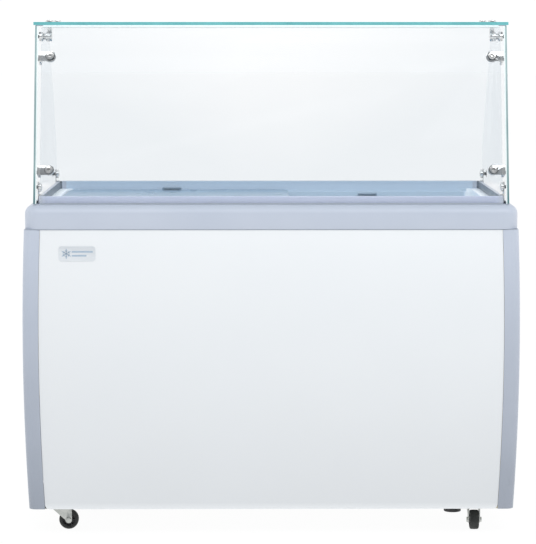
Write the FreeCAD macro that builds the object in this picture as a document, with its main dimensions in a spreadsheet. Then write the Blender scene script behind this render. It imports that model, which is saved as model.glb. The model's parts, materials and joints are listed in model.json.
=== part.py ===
import FreeCAD, Part
import math
import os
import Sketcher

# Chest freezer of the ice cream dipping kind: bowed steel body on four
# casters, two sliding lids under a glass guard. Millimetres, +Z up, front
# towards -Y, origin on the floor under the middle of the body.

os.makedirs("parts", exist_ok=True)
doc = FreeCAD.newDocument("ChestFreezer")

DIMENSIONS = {
    # body shell
    "body_half_width": 626, "bow_radius": 6800, "bow_mid_z": 480,
    "body_base_z": 66, "body_top_z": 774, "pillar_face_y": 335.5,
    "pillar_width": 41, "pillar_skin": 2.5, "pillar_round": 20,
    "steel_sheet": 1.5, "panel_step": 1, "panel_gap": 0.6, "panel_corner": 12,
    # moulded top frame
    "frame_half_width": 618, "frame_half_depth": 336.5, "frame_base_z": 776,
    "frame_corner": 38, "shoulder_z": 836, "shoulder_round": 23,
    "rim_half_width": 586, "rim_half_depth": 298.5, "rim_corner": 28,
    "rim_wall": 9, "rim_top_z": 856, "rim_round": 2.5,
    "groove_width": 2.5, "groove_depth": 2,
    # collar that carries the lids
    "shelf_z": 835, "shelf_width": 22, "shelf_corner": 30,
    "upper_step_z": 827, "upper_step_width": 11,
    "lower_step_z": 810, "lower_step_width": 12.5,
    "sill_z": 799, "sill_width": 16, "well_corner": 24,
    # lids
    "lid_length": 600, "lid_outer_x": 550, "lid_corner": 28,
    "lid_flange": 4, "lid_core": 10, "lid_core_half_depth": 254,
    "lid_core_inset": 8, "lid_side_gap": 1, "lid_lift": 0.5,
    "lid_round": 1.5, "end_seal": 4, "end_seal_length": 480,
    "pull_x": 269, "pull_length": 52, "pull_depth": 18, "pull_height": 8.5,
    "pull_round": 2,
    "pull_slot_length": 44, "pull_slot_height": 5.5, "pull_slot_depth": 12,
    "grip_depth": 3, "grip_height": 2.2, "grip_gap": 0.6, "pull_front_y": 257,
    # tank and insulation
    "tank_sheet": 2, "tank_floor_z": 130, "tank_step_z": 400,
    "tank_step_x": 250, "foam_gap": 0.1, "machine_x": 300,
    "machine_top_z": 350,
    # base
    "pan_half_width": 606, "pan_half_depth": 330, "pan_sheet": 2,
    "pan_corner": 14, "vent_x": -450, "vent_y": -84,
    "vent_slot_length": 180, "vent_slot_width": 8, "vent_pitch": 24,
    "vent_count": 8,
    # glass guard
    "glass": 8, "glass_gap": 0.2, "guard_seat": 2, "seat_front_depth": 9.5,
    "side_glass_x": 588,
    "guard_front_y": 314, "guard_top_z": 1281, "guard_lean": 13,
    "side_glass_top_y": 90, "side_glass_back_y": 300,
    "side_glass_knee_z": 950, "glass_round": 14,
    "front_glass_half": 580, "front_glass_y": 311.5,
    "front_glass_z": 840, "front_glass_height": 448.5,
    "top_glass_half": 600, "top_glass_front_y": 214,
    "top_glass_depth": 312, "top_pad": 2,
    "top_pad_y": -204, "top_pad_length": 288,
    # guard fittings
    "bolt_radius": 4, "bolt_play": 0.2, "cap_radius": 10, "cap_height": 4,
    "small_cap_radius": 8, "nut_radius": 6.5, "nut_height": 2,
    "clamp_plate": 4, "clamp_half_height": 12, "clamp_leg_x": 558,
    "clamp_leg_y": 36, "upper_clamp_pad": 15, "lower_clamp_pad": 13,
    "clamp_pad_height": 6, "upper_clamp_up": 376, "lower_clamp_up": 85,
    "top_clamp_front_y": -180, "top_clamp_back_y": 60,
    "top_clamp_bolt_x": 562, "top_clamp_drop": 43, "top_clamp_half": 11,
    "top_clamp_bolt_z": 1254, "top_cap_height": 6, "foot_length": 10,
    "barrel_x": 556, "barrel_length": 15, "barrel_radius": 12,
    "waist_radius": 8, "stem_radius": 6.5, "stem_bolt": 10,
    "flange_radius": 10, "flange_height": 3,
    "bracket_y": 262, "bracket_half": 14, "bracket_plate": 1.6,
    "bracket_top_z": 891, "bracket_bolt_z": 877, "bracket_pad_radius": 12,
    "bracket_cap_height": 1.5, "bracket_foot": 3, "bracket_boss": 8,
    "bracket_base_z": 839,
    # casters
    "caster_x": 526, "caster_y": 256.5, "caster_shift": -7,
    "caster_plate_size": 64,
    "caster_plate_thick": 3, "caster_race_radius": 20,
    "caster_race_height": 5, "kingpin_radius": 5, "run_fit": 0.05,
    "crown_radius": 19, "crown_top_z": 57.6, "crown_thick": 3,
    "fork_inner": 12.6, "fork_arm": 2.5, "fork_tip_radius": 8.5,
    "fork_crown_back": -30, "fork_crown_lead": 23,
    "wheel_radius": 25, "wheel_width": 23, "wheel_trail": 15,
    "tyre_round": 4, "tyre_depth": 7, "face_depth": 3, "hub_wall": 4.5,
    "axle_radius": 4, "axle_nut_radius": 6.5, "axle_nut_height": 4,
    # drain
    "drain_x": 469, "drain_y": -206, "drain_pipe_radius": 16,
    "drain_bore_radius": 12, "drain_cup_bore": 13.5, "drain_cup_top": 23,
    "drain_cup_tip": 22, "drain_cup_height": 32, "drain_plug_radius": 11.95,
    "drain_plug_flange": 20, "drain_plug_depth": 14,
    "plug_gap": 0.3, "plug_flange_height": 3, "plug_knob_radius": 6,
    "plug_knob_height": 12,
    # rear controls and grille
    "grille_x0": -571, "grille_x1": -385, "grille_z0": 96, "grille_z1": 334,
    "grille_lap": 8, "grille_slot_height": 5, "grille_pitch": 12,
    "grille_count": 17, "grille_margin": 16, "grille_first_slot": 22,
    "control_x0": -366, "control_x1": -312, "control_z0": 96,
    "control_z1": 334, "control_recess": 20, "inlet_z": 130,
    "inlet_collar_radius": 14, "inlet_collar": 4, "inlet_nose_radius": 9,
    "inlet_nose": 10, "inlet_bore_radius": 4.5,
    "knob_radius": 17, "knob_height": 14, "knob_z": 238, "knob_gap": 0.4,
    "knob_skirt": 4, "knob_barrel_radius": 13, "knob_mark_width": 2,
    "knob_mark_length": 15, "spindle_radius": 3, "spindle_hole_radius": 5,
    "spindle_reach": 9.5, "thermostat_width": 34, "thermostat_height": 44,
    "thermostat_depth": 38, "display_width": 34, "display_height": 18,
    "display_thick": 3, "display_z": 300,
    "screw_radius": 3.2, "screw_height": 0.5, "screw_inset": 6,
    # refrigeration set
    "compressor_x": -440, "compressor_y": -190, "compressor_radius": 78,
    "compressor_height": 178, "compressor_foot": 12, "can_dome": 30,
    "terminal_reach": 26, "terminal_sunk": 8, "terminal_width": 52,
    "terminal_height": 60, "terminal_lift": 70,
    "mount_plate_length": 184, "mount_plate_width": 140,
    "mount_plate_thick": 4, "plate_lap": 0.5, "foot_radius": 10,
    "foot_x": 80, "foot_y": 58,
    "condenser_x": -488, "condenser_y": 262, "condenser_width": 196,
    "condenser_depth": 44, "condenser_z0": 100, "condenser_height": 226,
    "fin_sheet": 1, "fin_pitch": 7, "fin_count": 28, "fin_lead": 2,
    "coil_tube_radius": 4.5, "coil_row_y": 11, "coil_first_z": 26,
    "coil_pitch": 44, "coil_overhang": 4, "coil_passes": 5,
    "fan_y": 190, "fan_z": 213, "fan_radius": 88, "fan_blade_count": 5,
    "fan_hub_radius": 22, "fan_hub_height": 18, "fan_blade_sheet": 2,
    "fan_blade_width": 46, "fan_blade_pitch": 32, "fan_blade_root": 4,
    "fan_motor_radius": 36, "fan_motor_length": 52, "fan_motor_gap": 12,
    "fan_shaft_radius": 4, "fan_shaft_reach": 24, "stand_width": 44,
    "stand_depth": 36, "stand_lead": 8, "stand_top_drop": 20,
    "stand_foot_width": 100, "stand_foot_depth": 48, "stand_foot_lead": 2,
    "stand_foot_thick": 3,
    "line_z": 170, "line_radius": 4, "line_offset": 22, "line_end_y": 140,
    "drier_radius": 11, "drier_length": 90,
    # badge
    "badge_x": -486, "badge_z": 715, "badge_width": 92, "badge_height": 38,
    "badge_thick": 1.2, "badge_corner": 8,
}

sheet = doc.addObject("Spreadsheet::Sheet", "Dims")
for row, (alias, value) in enumerate(DIMENSIONS.items(), start=1):
    sheet.set("A%d" % row, alias)
    sheet.set("B%d" % row, str(value))
    sheet.setAlias("B%d" % row, alias)
doc.recompute()


class Dim:
    """A length tied to the sheet: the expression and its value now."""

    def __init__(self, text, value):
        self.text = text
        self.value = float(value)

    def __add__(self, other):
        other = as_dim(other)
        return Dim("(%s + %s)" % (self.text, other.text), self.value + other.value)

    def __sub__(self, other):
        other = as_dim(other)
        return Dim("(%s - %s)" % (self.text, other.text), self.value - other.value)

    def __mul__(self, other):
        other = as_dim(other)
        return Dim("(%s * %s)" % (self.text, other.text), self.value * other.value)

    def __truediv__(self, other):
        other = as_dim(other)
        return Dim("(%s / %s)" % (self.text, other.text), self.value / other.value)

    def __neg__(self):
        return Dim("(0 - %s)" % self.text, -self.value)


def as_dim(number):
    if isinstance(number, Dim):
        return number
    return Dim(repr(float(number)), number)


class Sizes:
    """Gives every sheet entry as a Dim under its own name."""

    def __getattr__(self, alias):
        return Dim("Dims." + alias, DIMENSIONS[alias])


D = Sizes()
ZERO = as_dim(0)
OVERRUN = 1          # how far a cutter reaches past the material it cuts
TINY = 1e-4          # lengths below this count as nothing
TALL_EDGE_REACH = 10
NODES = {}
X_AXIS = FreeCAD.Vector(1, 0, 0)
Y_AXIS = FreeCAD.Vector(0, 1, 0)
Z_AXIS = FreeCAD.Vector(0, 0, 1)
ALONG = {
    "x": FreeCAD.Rotation(Y_AXIS, 90),
    "y": FreeCAD.Rotation(X_AXIS, -90),
    "z": FreeCAD.Rotation(),
}


# ---------------------------------------------------------------- helpers

def bind(thing, prop, dim):
    dim = as_dim(dim)
    thing.setExpression(prop, dim.text)


def place(thing, x=ZERO, y=ZERO, z=ZERO, turn=None):
    x, y, z = as_dim(x), as_dim(y), as_dim(z)
    thing.Placement = FreeCAD.Placement(
        FreeCAD.Vector(x.value, y.value, z.value), turn or FreeCAD.Rotation())
    bind(thing, "Placement.Base.x", x)
    bind(thing, "Placement.Base.y", y)
    bind(thing, "Placement.Base.z", z)


def node(thing, label):
    """Registers a finished sub-part under its own label."""
    thing.Label = label
    NODES[label] = thing
    return thing


def new_body(label, x=ZERO, y=ZERO, z=ZERO, turn=None):
    body = doc.addObject("PartDesign::Body", label)
    place(body, x, y, z, turn)
    return node(body, label)


def sketch_on(body, name, role, offset=ZERO):
    sketch = body.newObject("Sketcher::SketchObject", name)
    plane = [item for item in body.Origin.OriginFeatures if item.Role == role][0]
    sketch.AttachmentSupport = [(plane, "")]
    sketch.MapMode = "FlatFace"
    offset = as_dim(offset)
    if offset.value:
        sketch.AttachmentOffset = FreeCAD.Placement(
            FreeCAD.Vector(0, 0, offset.value), FreeCAD.Rotation())
        bind(sketch, "AttachmentOffset.Base.z", offset)
    return sketch


def measure(sketch, kind, refs, dim):
    """Adds one driving constraint that follows the sheet."""
    index = sketch.addConstraint(Sketcher.Constraint(kind, *refs, dim.value))
    sketch.setExpression("Constraints[%d]" % index, dim.text)


def pin_point(sketch, geo, end, x=None, y=None):
    """Holds a point of the sketch at x and y from its origin."""
    for kind, axis, dim in (("DistanceX", -2, x), ("DistanceY", -1, y)):
        if dim is None:
            continue
        dim = as_dim(dim)
        if abs(dim.value) < 1e-9:
            sketch.addConstraint(Sketcher.Constraint("PointOnObject", geo, end, axis))
        elif dim.value > 0:
            measure(sketch, kind, (-1, 1, geo, end), dim)
        else:
            measure(sketch, kind, (geo, end, -1, 1), -dim)


def polygon(sketch, points):
    """Closed straight outline with every corner held by the sheet."""
    first = sketch.GeometryCount
    points = [(as_dim(x), as_dim(y)) for x, y in points]
    count = len(points)
    for index in range(count):
        start = points[index]
        stop = points[(index + 1) % count]
        sketch.addGeometry(Part.LineSegment(
            FreeCAD.Vector(start[0].value, start[1].value, 0),
            FreeCAD.Vector(stop[0].value, stop[1].value, 0)))
    for index in range(count):
        following = first + (index + 1) % count
        sketch.addConstraint(Sketcher.Constraint(
            "Coincident", first + index, 2, following, 1))
    for index in range(count):
        pin_point(sketch, first + index, 1, points[index][0], points[index][1])


def rectangle(sketch, x0, x1, y0, y1):
    polygon(sketch, [(x0, y0), (x1, y0), (x1, y1), (x0, y1)])


def round_rectangle(sketch, half_x, half_y, radius):
    """Rectangle with round corners, centred on the sketch's origin."""
    first = sketch.GeometryCount
    width, depth, corner = half_x.value, half_y.value, radius.value
    inner_x, inner_y = width - corner, depth - corner
    sides = [((-inner_x, -depth), (inner_x, -depth)), ((width, -inner_y), (width, inner_y)),
             ((inner_x, depth), (-inner_x, depth)), ((-width, inner_y), (-width, -inner_y))]
    centres = [(inner_x, -inner_y), (inner_x, inner_y), (-inner_x, inner_y), (-inner_x, -inner_y)]
    for index in range(4):
        (ax, ay), (bx, by) = sides[index]
        sketch.addGeometry(Part.LineSegment(
            FreeCAD.Vector(ax, ay, 0), FreeCAD.Vector(bx, by, 0)))
        start = math.radians(-90 + 90 * index)
        circle = Part.Circle(
            FreeCAD.Vector(centres[index][0], centres[index][1], 0), Z_AXIS, corner)
        sketch.addGeometry(Part.ArcOfCircle(circle, start, start + math.pi / 2))
    for index in range(4):
        line = first + 2 * index
        arc = line + 1
        following = first + (2 * index + 2) % 8
        sketch.addConstraint(Sketcher.Constraint("Tangent", line, 2, arc, 1))
        sketch.addConstraint(Sketcher.Constraint("Tangent", arc, 2, following, 1))
        direction = "Horizontal" if index % 2 == 0 else "Vertical"
        sketch.addConstraint(Sketcher.Constraint(direction, line))
    for index in range(1, 4):
        sketch.addConstraint(Sketcher.Constraint("Equal", first + 1, first + 1 + 2 * index))
    measure(sketch, "Radius", (first + 1,), radius)
    sketch.addConstraint(Sketcher.Constraint("Symmetric", first + 1, 3, first + 5, 3, -1, 1))
    measure(sketch, "DistanceX", (first + 6, 1, first + 2, 1), half_x * 2)
    measure(sketch, "DistanceY", (first, 1, first + 4, 1), half_y * 2)


def circle_at(sketch, x, y, radius):
    x, y = as_dim(x), as_dim(y)
    geo = sketch.addGeometry(Part.Circle(
        FreeCAD.Vector(x.value, y.value, 0), Z_AXIS, radius.value))
    measure(sketch, "Radius", (geo,), radius)
    pin_point(sketch, geo, 3, x, y)


def bow_arc(sketch, side, inset, low_z, high_z):
    """One bowed vertical edge of the body, side -1 left or +1 right."""
    radius = D.bow_radius - inset
    centre_x = (D.body_half_width - D.bow_radius) * side
    lift_low = low_z.value - D.bow_mid_z.value
    lift_high = high_z.value - D.bow_mid_z.value
    low = math.asin(lift_low / radius.value)
    high = math.asin(lift_high / radius.value)
    if side < 0:
        low, high = math.pi - high, math.pi - low
    circle = Part.Circle(
        FreeCAD.Vector(centre_x.value, D.bow_mid_z.value, 0), Z_AXIS, radius.value)
    geo = sketch.addGeometry(Part.ArcOfCircle(circle, low, high))
    measure(sketch, "Radius", (geo,), radius)
    pin_point(sketch, geo, 3, centre_x, D.bow_mid_z)
    bottom, top = (1, 2) if side > 0 else (2, 1)
    pin_point(sketch, geo, bottom, None, low_z)
    pin_point(sketch, geo, top, None, high_z)
    return geo, bottom, top


def close_arcs(sketch, one, other):
    """Joins two bowed edges with straight lines at the foot and the head."""
    for slot in (1, 2):
        a_geo, a_end = one[0], one[slot]
        b_geo, b_end = other[0], other[slot]
        line = sketch.addGeometry(Part.LineSegment(
            sketch.getPoint(a_geo, a_end), sketch.getPoint(b_geo, b_end)))
        sketch.addConstraint(Sketcher.Constraint("Coincident", line, 1, a_geo, a_end))
        sketch.addConstraint(Sketcher.Constraint("Coincident", line, 2, b_geo, b_end))


def bow_band(sketch, side, outer_inset, inner_inset, low_z, high_z):
    outer = bow_arc(sketch, side, outer_inset, low_z, high_z)
    inner = bow_arc(sketch, side, inner_inset, low_z, high_z)
    close_arcs(sketch, outer, inner)


def bow_block(sketch, inset, low_z, high_z):
    left = bow_arc(sketch, -1, inset, low_z, high_z)
    right = bow_arc(sketch, 1, inset, low_z, high_z)
    close_arcs(sketch, left, right)


def pad(body, name, sketch, length, symmetric=False, reverse=False):
    feature = body.newObject("PartDesign::Pad", name)
    feature.Profile = sketch
    feature.Length = as_dim(length).value
    bind(feature, "Length", length)
    feature.Reversed = reverse
    if symmetric:
        feature.SideType = "Symmetric"
    body.Tip = feature
    doc.recompute()
    return feature


def pocket(body, name, sketch, length, symmetric=False, reverse=False):
    """Cuts a sketch into the body and makes sure that material went."""
    before = body.Shape.Volume
    feature = body.newObject("PartDesign::Pocket", name)
    feature.Profile = sketch
    feature.Length = as_dim(length).value
    bind(feature, "Length", length)
    feature.Reversed = reverse
    if symmetric:
        feature.SideType = "Symmetric"
    body.Tip = feature
    doc.recompute()
    if body.Shape.Volume >= before - 1e-6:
        raise RuntimeError("%s cut nothing" % name)
    return feature


def edges_where(feature, test):
    return ["Edge%d" % (index + 1)
            for index, edge in enumerate(feature.Shape.Edges) if test(edge)]


def fillet(body, name, base, test, radius):
    feature = body.newObject("PartDesign::Fillet", name)
    feature.Base = (base, edges_where(base, test))
    feature.Radius = as_dim(radius).value
    bind(feature, "Radius", radius)
    body.Tip = feature
    doc.recompute()
    return feature


def at_height(z):
    """True for edges that lie flat at one height."""
    def test(edge):
        box = edge.BoundBox
        return abs(box.ZMin - z.value) < TINY and abs(box.ZMax - z.value) < TINY
    return test


def box(name, x, y, z, length, width, height, turn=None):
    """Block whose low corner stands at x, y, z."""
    block = doc.addObject("Part::Box", name)
    for prop, dim in (("Length", length), ("Width", width), ("Height", height)):
        bind(block, prop, as_dim(dim))
    place(block, x, y, z, turn)
    return block


def rod(name, x, y, z, radius, length, axis="z"):
    """Cylinder that starts at x, y, z and runs along an axis."""
    cylinder = doc.addObject("Part::Cylinder", name)
    bind(cylinder, "Radius", as_dim(radius))
    bind(cylinder, "Height", as_dim(length))
    place(cylinder, x, y, z, ALONG[axis])
    return cylinder


def fuse(name, pieces):
    joined = doc.addObject("Part::MultiFuse", name)
    joined.Shapes = pieces
    return joined


def cut(name, base, tool):
    result = doc.addObject("Part::Cut", name)
    result.Base = base
    result.Tool = tool
    return result


def group(name, pieces):
    """Several separate solids kept together as one sub-part."""
    together = doc.addObject("Part::Compound", name)
    together.Links = pieces
    return together


# ------------------------------------------------------------- body shell

def side_panel(side, label):
    """Bowed steel side sheet between the front and rear pillars."""
    body = new_body(label)
    outline = sketch_on(body, label + "_bow", "XZ_Plane")
    outer = D.panel_step
    bow_band(outline, side, outer, outer + D.steel_sheet, D.body_base_z, D.body_top_z)
    depth = (D.pillar_face_y - D.pillar_width - D.panel_gap) * 2
    pad(body, label + "_sheet", outline, depth, symmetric=True)


def pillar(side, end, label):
    """Moulded corner post, L shaped in plan; end -1 front, +1 rear."""
    body = new_body(label)
    face = D.pillar_face_y
    outline = sketch_on(body, label + "_bow", "XZ_Plane", -face * end)
    bow_band(outline, side, ZERO, D.pillar_width, D.body_base_z, D.body_top_z)
    pad(body, label + "_block", outline, D.pillar_width, reverse=end < 0)
    hollow = sketch_on(body, label + "_back", "XZ_Plane", -(face - D.pillar_skin) * end)
    bow_band(hollow, side, D.pillar_skin, D.pillar_width + OVERRUN, D.body_base_z, D.body_top_z)
    angle = pocket(body, label + "_hollow", hollow, D.pillar_width, reverse=end > 0)
    inner = fillet(body, label + "_inner", angle, corner_edge((face - D.pillar_skin) * end),
                   D.pillar_round - D.pillar_skin)
    fillet(body, label + "_outer", inner, corner_edge(face * end), D.pillar_round)


def corner_edge(y, both_ends=False):
    """Tests for the tall bowed edges of the body's outer corners at one y."""
    def test(edge):
        centre = edge.CenterOfMass
        distance = abs(centre.y) - abs(y.value) if both_ends else centre.y - y.value
        tall = edge.BoundBox.ZLength > D.machine_top_z.value
        outside = abs(centre.x) > D.body_half_width.value - TALL_EDGE_REACH
        return abs(distance) < 10 * TINY and tall and outside
    return test


def face_sheet(label, end):
    """Flat steel sheet between two pillars; end -1 front, +1 rear."""
    body = new_body(label)
    inset = D.pillar_width + D.panel_gap
    outer_y = D.pillar_face_y - D.panel_step
    outline = sketch_on(body, label + "_outline", "XZ_Plane", -outer_y * end)
    bow_block(outline, inset, D.body_base_z, D.body_top_z)
    flat = pad(body, label + "_sheet", outline, D.steel_sheet, reverse=end < 0)

    def lower_corner(edge):
        bounds = edge.BoundBox
        across = bounds.XLength < TINY and bounds.ZLength < TINY
        return across and abs(bounds.ZMin - D.body_base_z.value) < TINY
    fillet(body, label + "_corners", flat, lower_corner, D.panel_corner)
    return body


def rear_panel():
    """Rear sheet with windows for the grille and the controls."""
    body = face_sheet("rear_panel", 1)
    windows = sketch_on(body, "rear_panel_windows", "XZ_Plane")
    lap = D.grille_lap
    for x0, x1, z0, z1 in ((D.grille_x0, D.grille_x1, D.grille_z0, D.grille_z1),
                           (D.control_x0, D.control_x1, D.control_z0, D.control_z1)):
        rectangle(windows, x0 + lap, x1 - lap, z0 + lap, z1 - lap)
    pocket(body, "rear_panel_cutouts", windows, D.pillar_face_y * 2, symmetric=True)


def top_frame():
    """Moulded frame: rounded shoulder, groove and raised rim."""
    body = new_body("top_frame")
    outer = sketch_on(body, "frame_outline", "XY_Plane", D.frame_base_z)
    round_rectangle(outer, D.frame_half_width, D.frame_half_depth, D.frame_corner)
    base = pad(body, "frame_block", outer, D.shoulder_z - D.frame_base_z)
    fillet(body, "frame_shoulder", base, at_height(D.shoulder_z), D.shoulder_round)
    rim = sketch_on(body, "rim_outline", "XY_Plane", D.shoulder_z)
    round_rectangle(rim, D.rim_half_width, D.rim_half_depth, D.rim_corner)
    pad(body, "rim_band", rim, D.rim_top_z - D.shoulder_z)
    well = sketch_on(body, "rim_inside", "XY_Plane", D.rim_top_z)
    round_rectangle(well, D.rim_half_width - D.rim_wall, D.rim_half_depth - D.rim_wall,
                    D.rim_corner - D.rim_wall)
    opened = pocket(body, "frame_opening", well, D.rim_top_z - D.frame_base_z + OVERRUN)
    fillet(body, "rim_edges", opened, at_height(D.rim_top_z), D.rim_round)
    groove = sketch_on(body, "groove_outline", "XY_Plane", D.shoulder_z)
    spread = D.groove_width
    round_rectangle(groove, D.rim_half_width + spread, D.rim_half_depth + spread,
                    D.rim_corner + spread)
    round_rectangle(groove, D.rim_half_width, D.rim_half_depth, D.rim_corner)
    pocket(body, "frame_groove", groove, D.groove_depth)


def lid_collar():
    """Stepped collar inside the rim; the lids slide on its two steps."""
    body = new_body("lid_collar")
    half_x = D.rim_half_width - D.rim_wall
    half_y = D.rim_half_depth - D.rim_wall
    channel_x = half_x - D.shelf_width
    outer = sketch_on(body, "collar_outline", "XY_Plane", D.frame_base_z)
    round_rectangle(outer, half_x, half_y, D.rim_corner - D.rim_wall)
    pad(body, "collar_block", outer, D.shelf_z - D.frame_base_z)
    upper = sketch_on(body, "upper_channel", "XY_Plane", D.shelf_z)
    round_rectangle(upper, channel_x, half_y, D.shelf_corner)
    pocket(body, "upper_step", upper, D.shelf_z - D.upper_step_z)
    lower = sketch_on(body, "lower_channel", "XY_Plane", D.shelf_z)
    round_rectangle(lower, channel_x, half_y - D.upper_step_width, D.shelf_corner)
    pocket(body, "lower_step", lower, D.shelf_z - D.lower_step_z)
    well_y = half_y - D.upper_step_width - D.lower_step_width
    sill = sketch_on(body, "sill_channel", "XY_Plane", D.shelf_z)
    round_rectangle(sill, channel_x, well_y, D.well_corner)
    pocket(body, "sill", sill, D.shelf_z - D.sill_z)
    well = sketch_on(body, "well_outline", "XY_Plane", D.shelf_z)
    round_rectangle(well, channel_x - D.sill_width, well_y, D.well_corner)
    pocket(body, "collar_well", well, D.shelf_z - D.frame_base_z + OVERRUN)


def tank_outline(sketch, grow, top_z):
    """Side view of the tank with its step over the machine space."""
    half_x = tank_half_x() + grow
    rim = top_z
    floor = D.tank_floor_z - grow
    step_x = -D.tank_step_x - grow
    step_z = D.tank_step_z - grow
    polygon(sketch, [(step_x, floor), (half_x, floor), (half_x, rim), (-half_x, rim),
                     (-half_x, step_z), (step_x, step_z)])


def tank_half_x():
    return D.rim_half_width - D.rim_wall - D.shelf_width - D.sill_width


def tank_half_y():
    return D.rim_half_depth - D.rim_wall - D.upper_step_width - D.lower_step_width


def inner_tank():
    """Stepped inner tank of thin sheet, open at the top, with a drain."""
    body = new_body("inner_tank")
    outer = sketch_on(body, "tank_outer", "XZ_Plane")
    tank_outline(outer, D.tank_sheet, D.frame_base_z)
    pad(body, "tank_block", outer, (tank_half_y() + D.tank_sheet) * 2, symmetric=True)
    inner = sketch_on(body, "tank_inner", "XZ_Plane")
    tank_outline(inner, ZERO, D.frame_base_z + OVERRUN)
    pocket(body, "tank_inside", inner, tank_half_y() * 2, symmetric=True)
    hole = sketch_on(body, "tank_drain", "XY_Plane", D.tank_floor_z)
    circle_at(hole, D.drain_x, D.drain_y, D.drain_bore_radius)
    pocket(body, "tank_drain_hole", hole, D.tank_sheet + OVERRUN)


def insulation():
    """Foam between the outer sheets and the tank, clear of the machines."""
    body = new_body("insulation")
    low = D.body_base_z + D.pan_sheet
    outline = sketch_on(body, "foam_bow", "XZ_Plane")
    inset = D.panel_step + D.steel_sheet + D.foam_gap
    bow_block(outline, inset, low, D.frame_base_z)
    half_y = D.pillar_face_y - D.panel_step - D.steel_sheet - D.foam_gap
    block = pad(body, "foam_block", outline, half_y * 2, symmetric=True)
    fillet(body, "foam_corners", block, corner_edge(half_y, both_ends=True),
           D.pillar_round - D.pillar_skin)
    tank = sketch_on(body, "foam_tank", "XZ_Plane")
    tank_outline(tank, D.tank_sheet, D.frame_base_z + OVERRUN)
    pocket(body, "foam_inside", tank, (tank_half_y() + D.tank_sheet) * 2, symmetric=True)
    machines = sketch_on(body, "foam_machines", "XZ_Plane")
    rectangle(machines, -D.body_half_width, -D.machine_x, D.body_base_z, D.machine_top_z)
    pocket(body, "foam_machine_space", machines, (half_y + OVERRUN) * 2, symmetric=True)
    drain = sketch_on(body, "foam_drain", "XY_Plane", D.tank_floor_z)
    circle_at(drain, D.drain_x, D.drain_y, D.drain_pipe_radius)
    pocket(body, "foam_drain_hole", drain, D.tank_floor_z)


def base_pan():
    """Steel floor sheet with air slots under the machines."""
    body = new_body("base_pan")
    outline = sketch_on(body, "pan_outline", "XY_Plane", D.body_base_z)
    round_rectangle(outline, D.pan_half_width, D.pan_half_depth, D.pan_corner)
    pad(body, "pan_sheet", outline, D.pan_sheet)
    hole = sketch_on(body, "pan_drain", "XY_Plane", D.body_base_z + D.pan_sheet)
    circle_at(hole, D.drain_x, D.drain_y, D.drain_pipe_radius)
    pocket(body, "pan_drain_hole", hole, D.pan_sheet + OVERRUN)
    slot = sketch_on(body, "pan_slot", "XY_Plane", D.body_base_z + D.pan_sheet)
    rectangle(slot, D.vent_x - D.vent_slot_length / 2, D.vent_x + D.vent_slot_length / 2,
              D.vent_y, D.vent_y + D.vent_slot_width)
    cutter = pocket(body, "pan_vent", slot, D.pan_sheet + OVERRUN)
    repeat(body, "pan_vents", cutter, slot, "V_Axis", D.vent_pitch, D.vent_count)


def repeat(body, name, feature, sketch, axis, pitch, count):
    """Repeats one cut in a straight row."""
    row = body.newObject("PartDesign::LinearPattern", name)
    row.Originals = [feature]
    row.Direction = (sketch, [axis])
    row.Occurrences = int(count.value)
    bind(row, "Occurrences", count)
    bind(row, "Length", pitch * (count - 1))
    body.Tip = row
    doc.recompute()
    return row


# ------------------------------------------------------------------- lids

def lid(side, label, top_z, channel_half_y):
    """Flat lid: thin flange that slides on the step, thicker core below."""
    centre_x = (D.lid_outer_x - D.lid_length / 2) * side
    body = new_body(label, x=centre_x, z=top_z)
    half_x = D.lid_length / 2
    flange = sketch_on(body, label + "_flange", "XY_Plane")
    round_rectangle(flange, half_x, channel_half_y - D.lid_side_gap, D.lid_corner)
    plate = pad(body, label + "_plate", flange, D.lid_flange, reverse=True)
    fillet(body, label + "_edge", plate, at_height(ZERO), D.lid_round)
    core = sketch_on(body, label + "_core", "XY_Plane", -D.lid_flange)
    round_rectangle(core, half_x - D.lid_core_inset, D.lid_core_half_depth, D.lid_corner)
    pad(body, label + "_foam", core, D.lid_core, reverse=True)


def lid_pull(side, label, top_z):
    """Low finger pull on the operator's edge of a lid, slot to the front."""
    body = new_body(label, x=D.pull_x * side, y=D.pull_front_y, z=top_z)
    outline = sketch_on(body, label + "_outline", "XY_Plane")
    half = D.pull_length / 2
    rectangle(outline, -half, half, ZERO, D.pull_depth)
    block = pad(body, label + "_block", outline, D.pull_height)
    fillet(body, label + "_edges", block, at_height(D.pull_height), D.pull_round)
    slot = sketch_on(body, label + "_slot", "XZ_Plane")
    slot_half = D.pull_slot_length / 2
    low = (D.pull_height - D.pull_slot_height) / 2
    rectangle(slot, -slot_half, slot_half, low, low + D.pull_slot_height)
    pocket(body, label + "_recess", slot, D.pull_slot_depth)


def lid_grip(side, label, top_z):
    """Grip bar across the pull's slot."""
    low = (D.pull_height - D.grip_height) / 2
    bar = box(label, D.pull_x * side - D.pull_slot_length / 2, D.pull_front_y + D.grip_gap,
              top_z + low, D.pull_slot_length, D.grip_depth, D.grip_height)
    node(bar, label)


def lid_seal(side, label, top_z):
    """Rubber strip on the lid's outer end."""
    outer = (D.lid_outer_x + D.end_seal) * side
    low_x = outer if side < 0 else outer - D.end_seal
    strip = box(label, low_x, -D.end_seal_length / 2, top_z - D.lid_flange,
                D.end_seal, D.end_seal_length, D.lid_flange)
    node(strip, label)


# ------------------------------------------------------------ glass guard

def lean_turn():
    return FreeCAD.Rotation(X_AXIS, -D.guard_lean.value)


def on_front_glass(x, off, up):
    """Point at a distance off the front glass's outer face and up along it."""
    angle = math.radians(D.guard_lean.value)
    sine, cosine = math.sin(angle), math.cos(angle)
    x, off, up = as_dim(x), as_dim(off), as_dim(up)
    y = -D.front_glass_y + off * cosine + up * sine
    z = D.front_glass_z - off * sine + up * cosine
    return x, y, z


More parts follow.
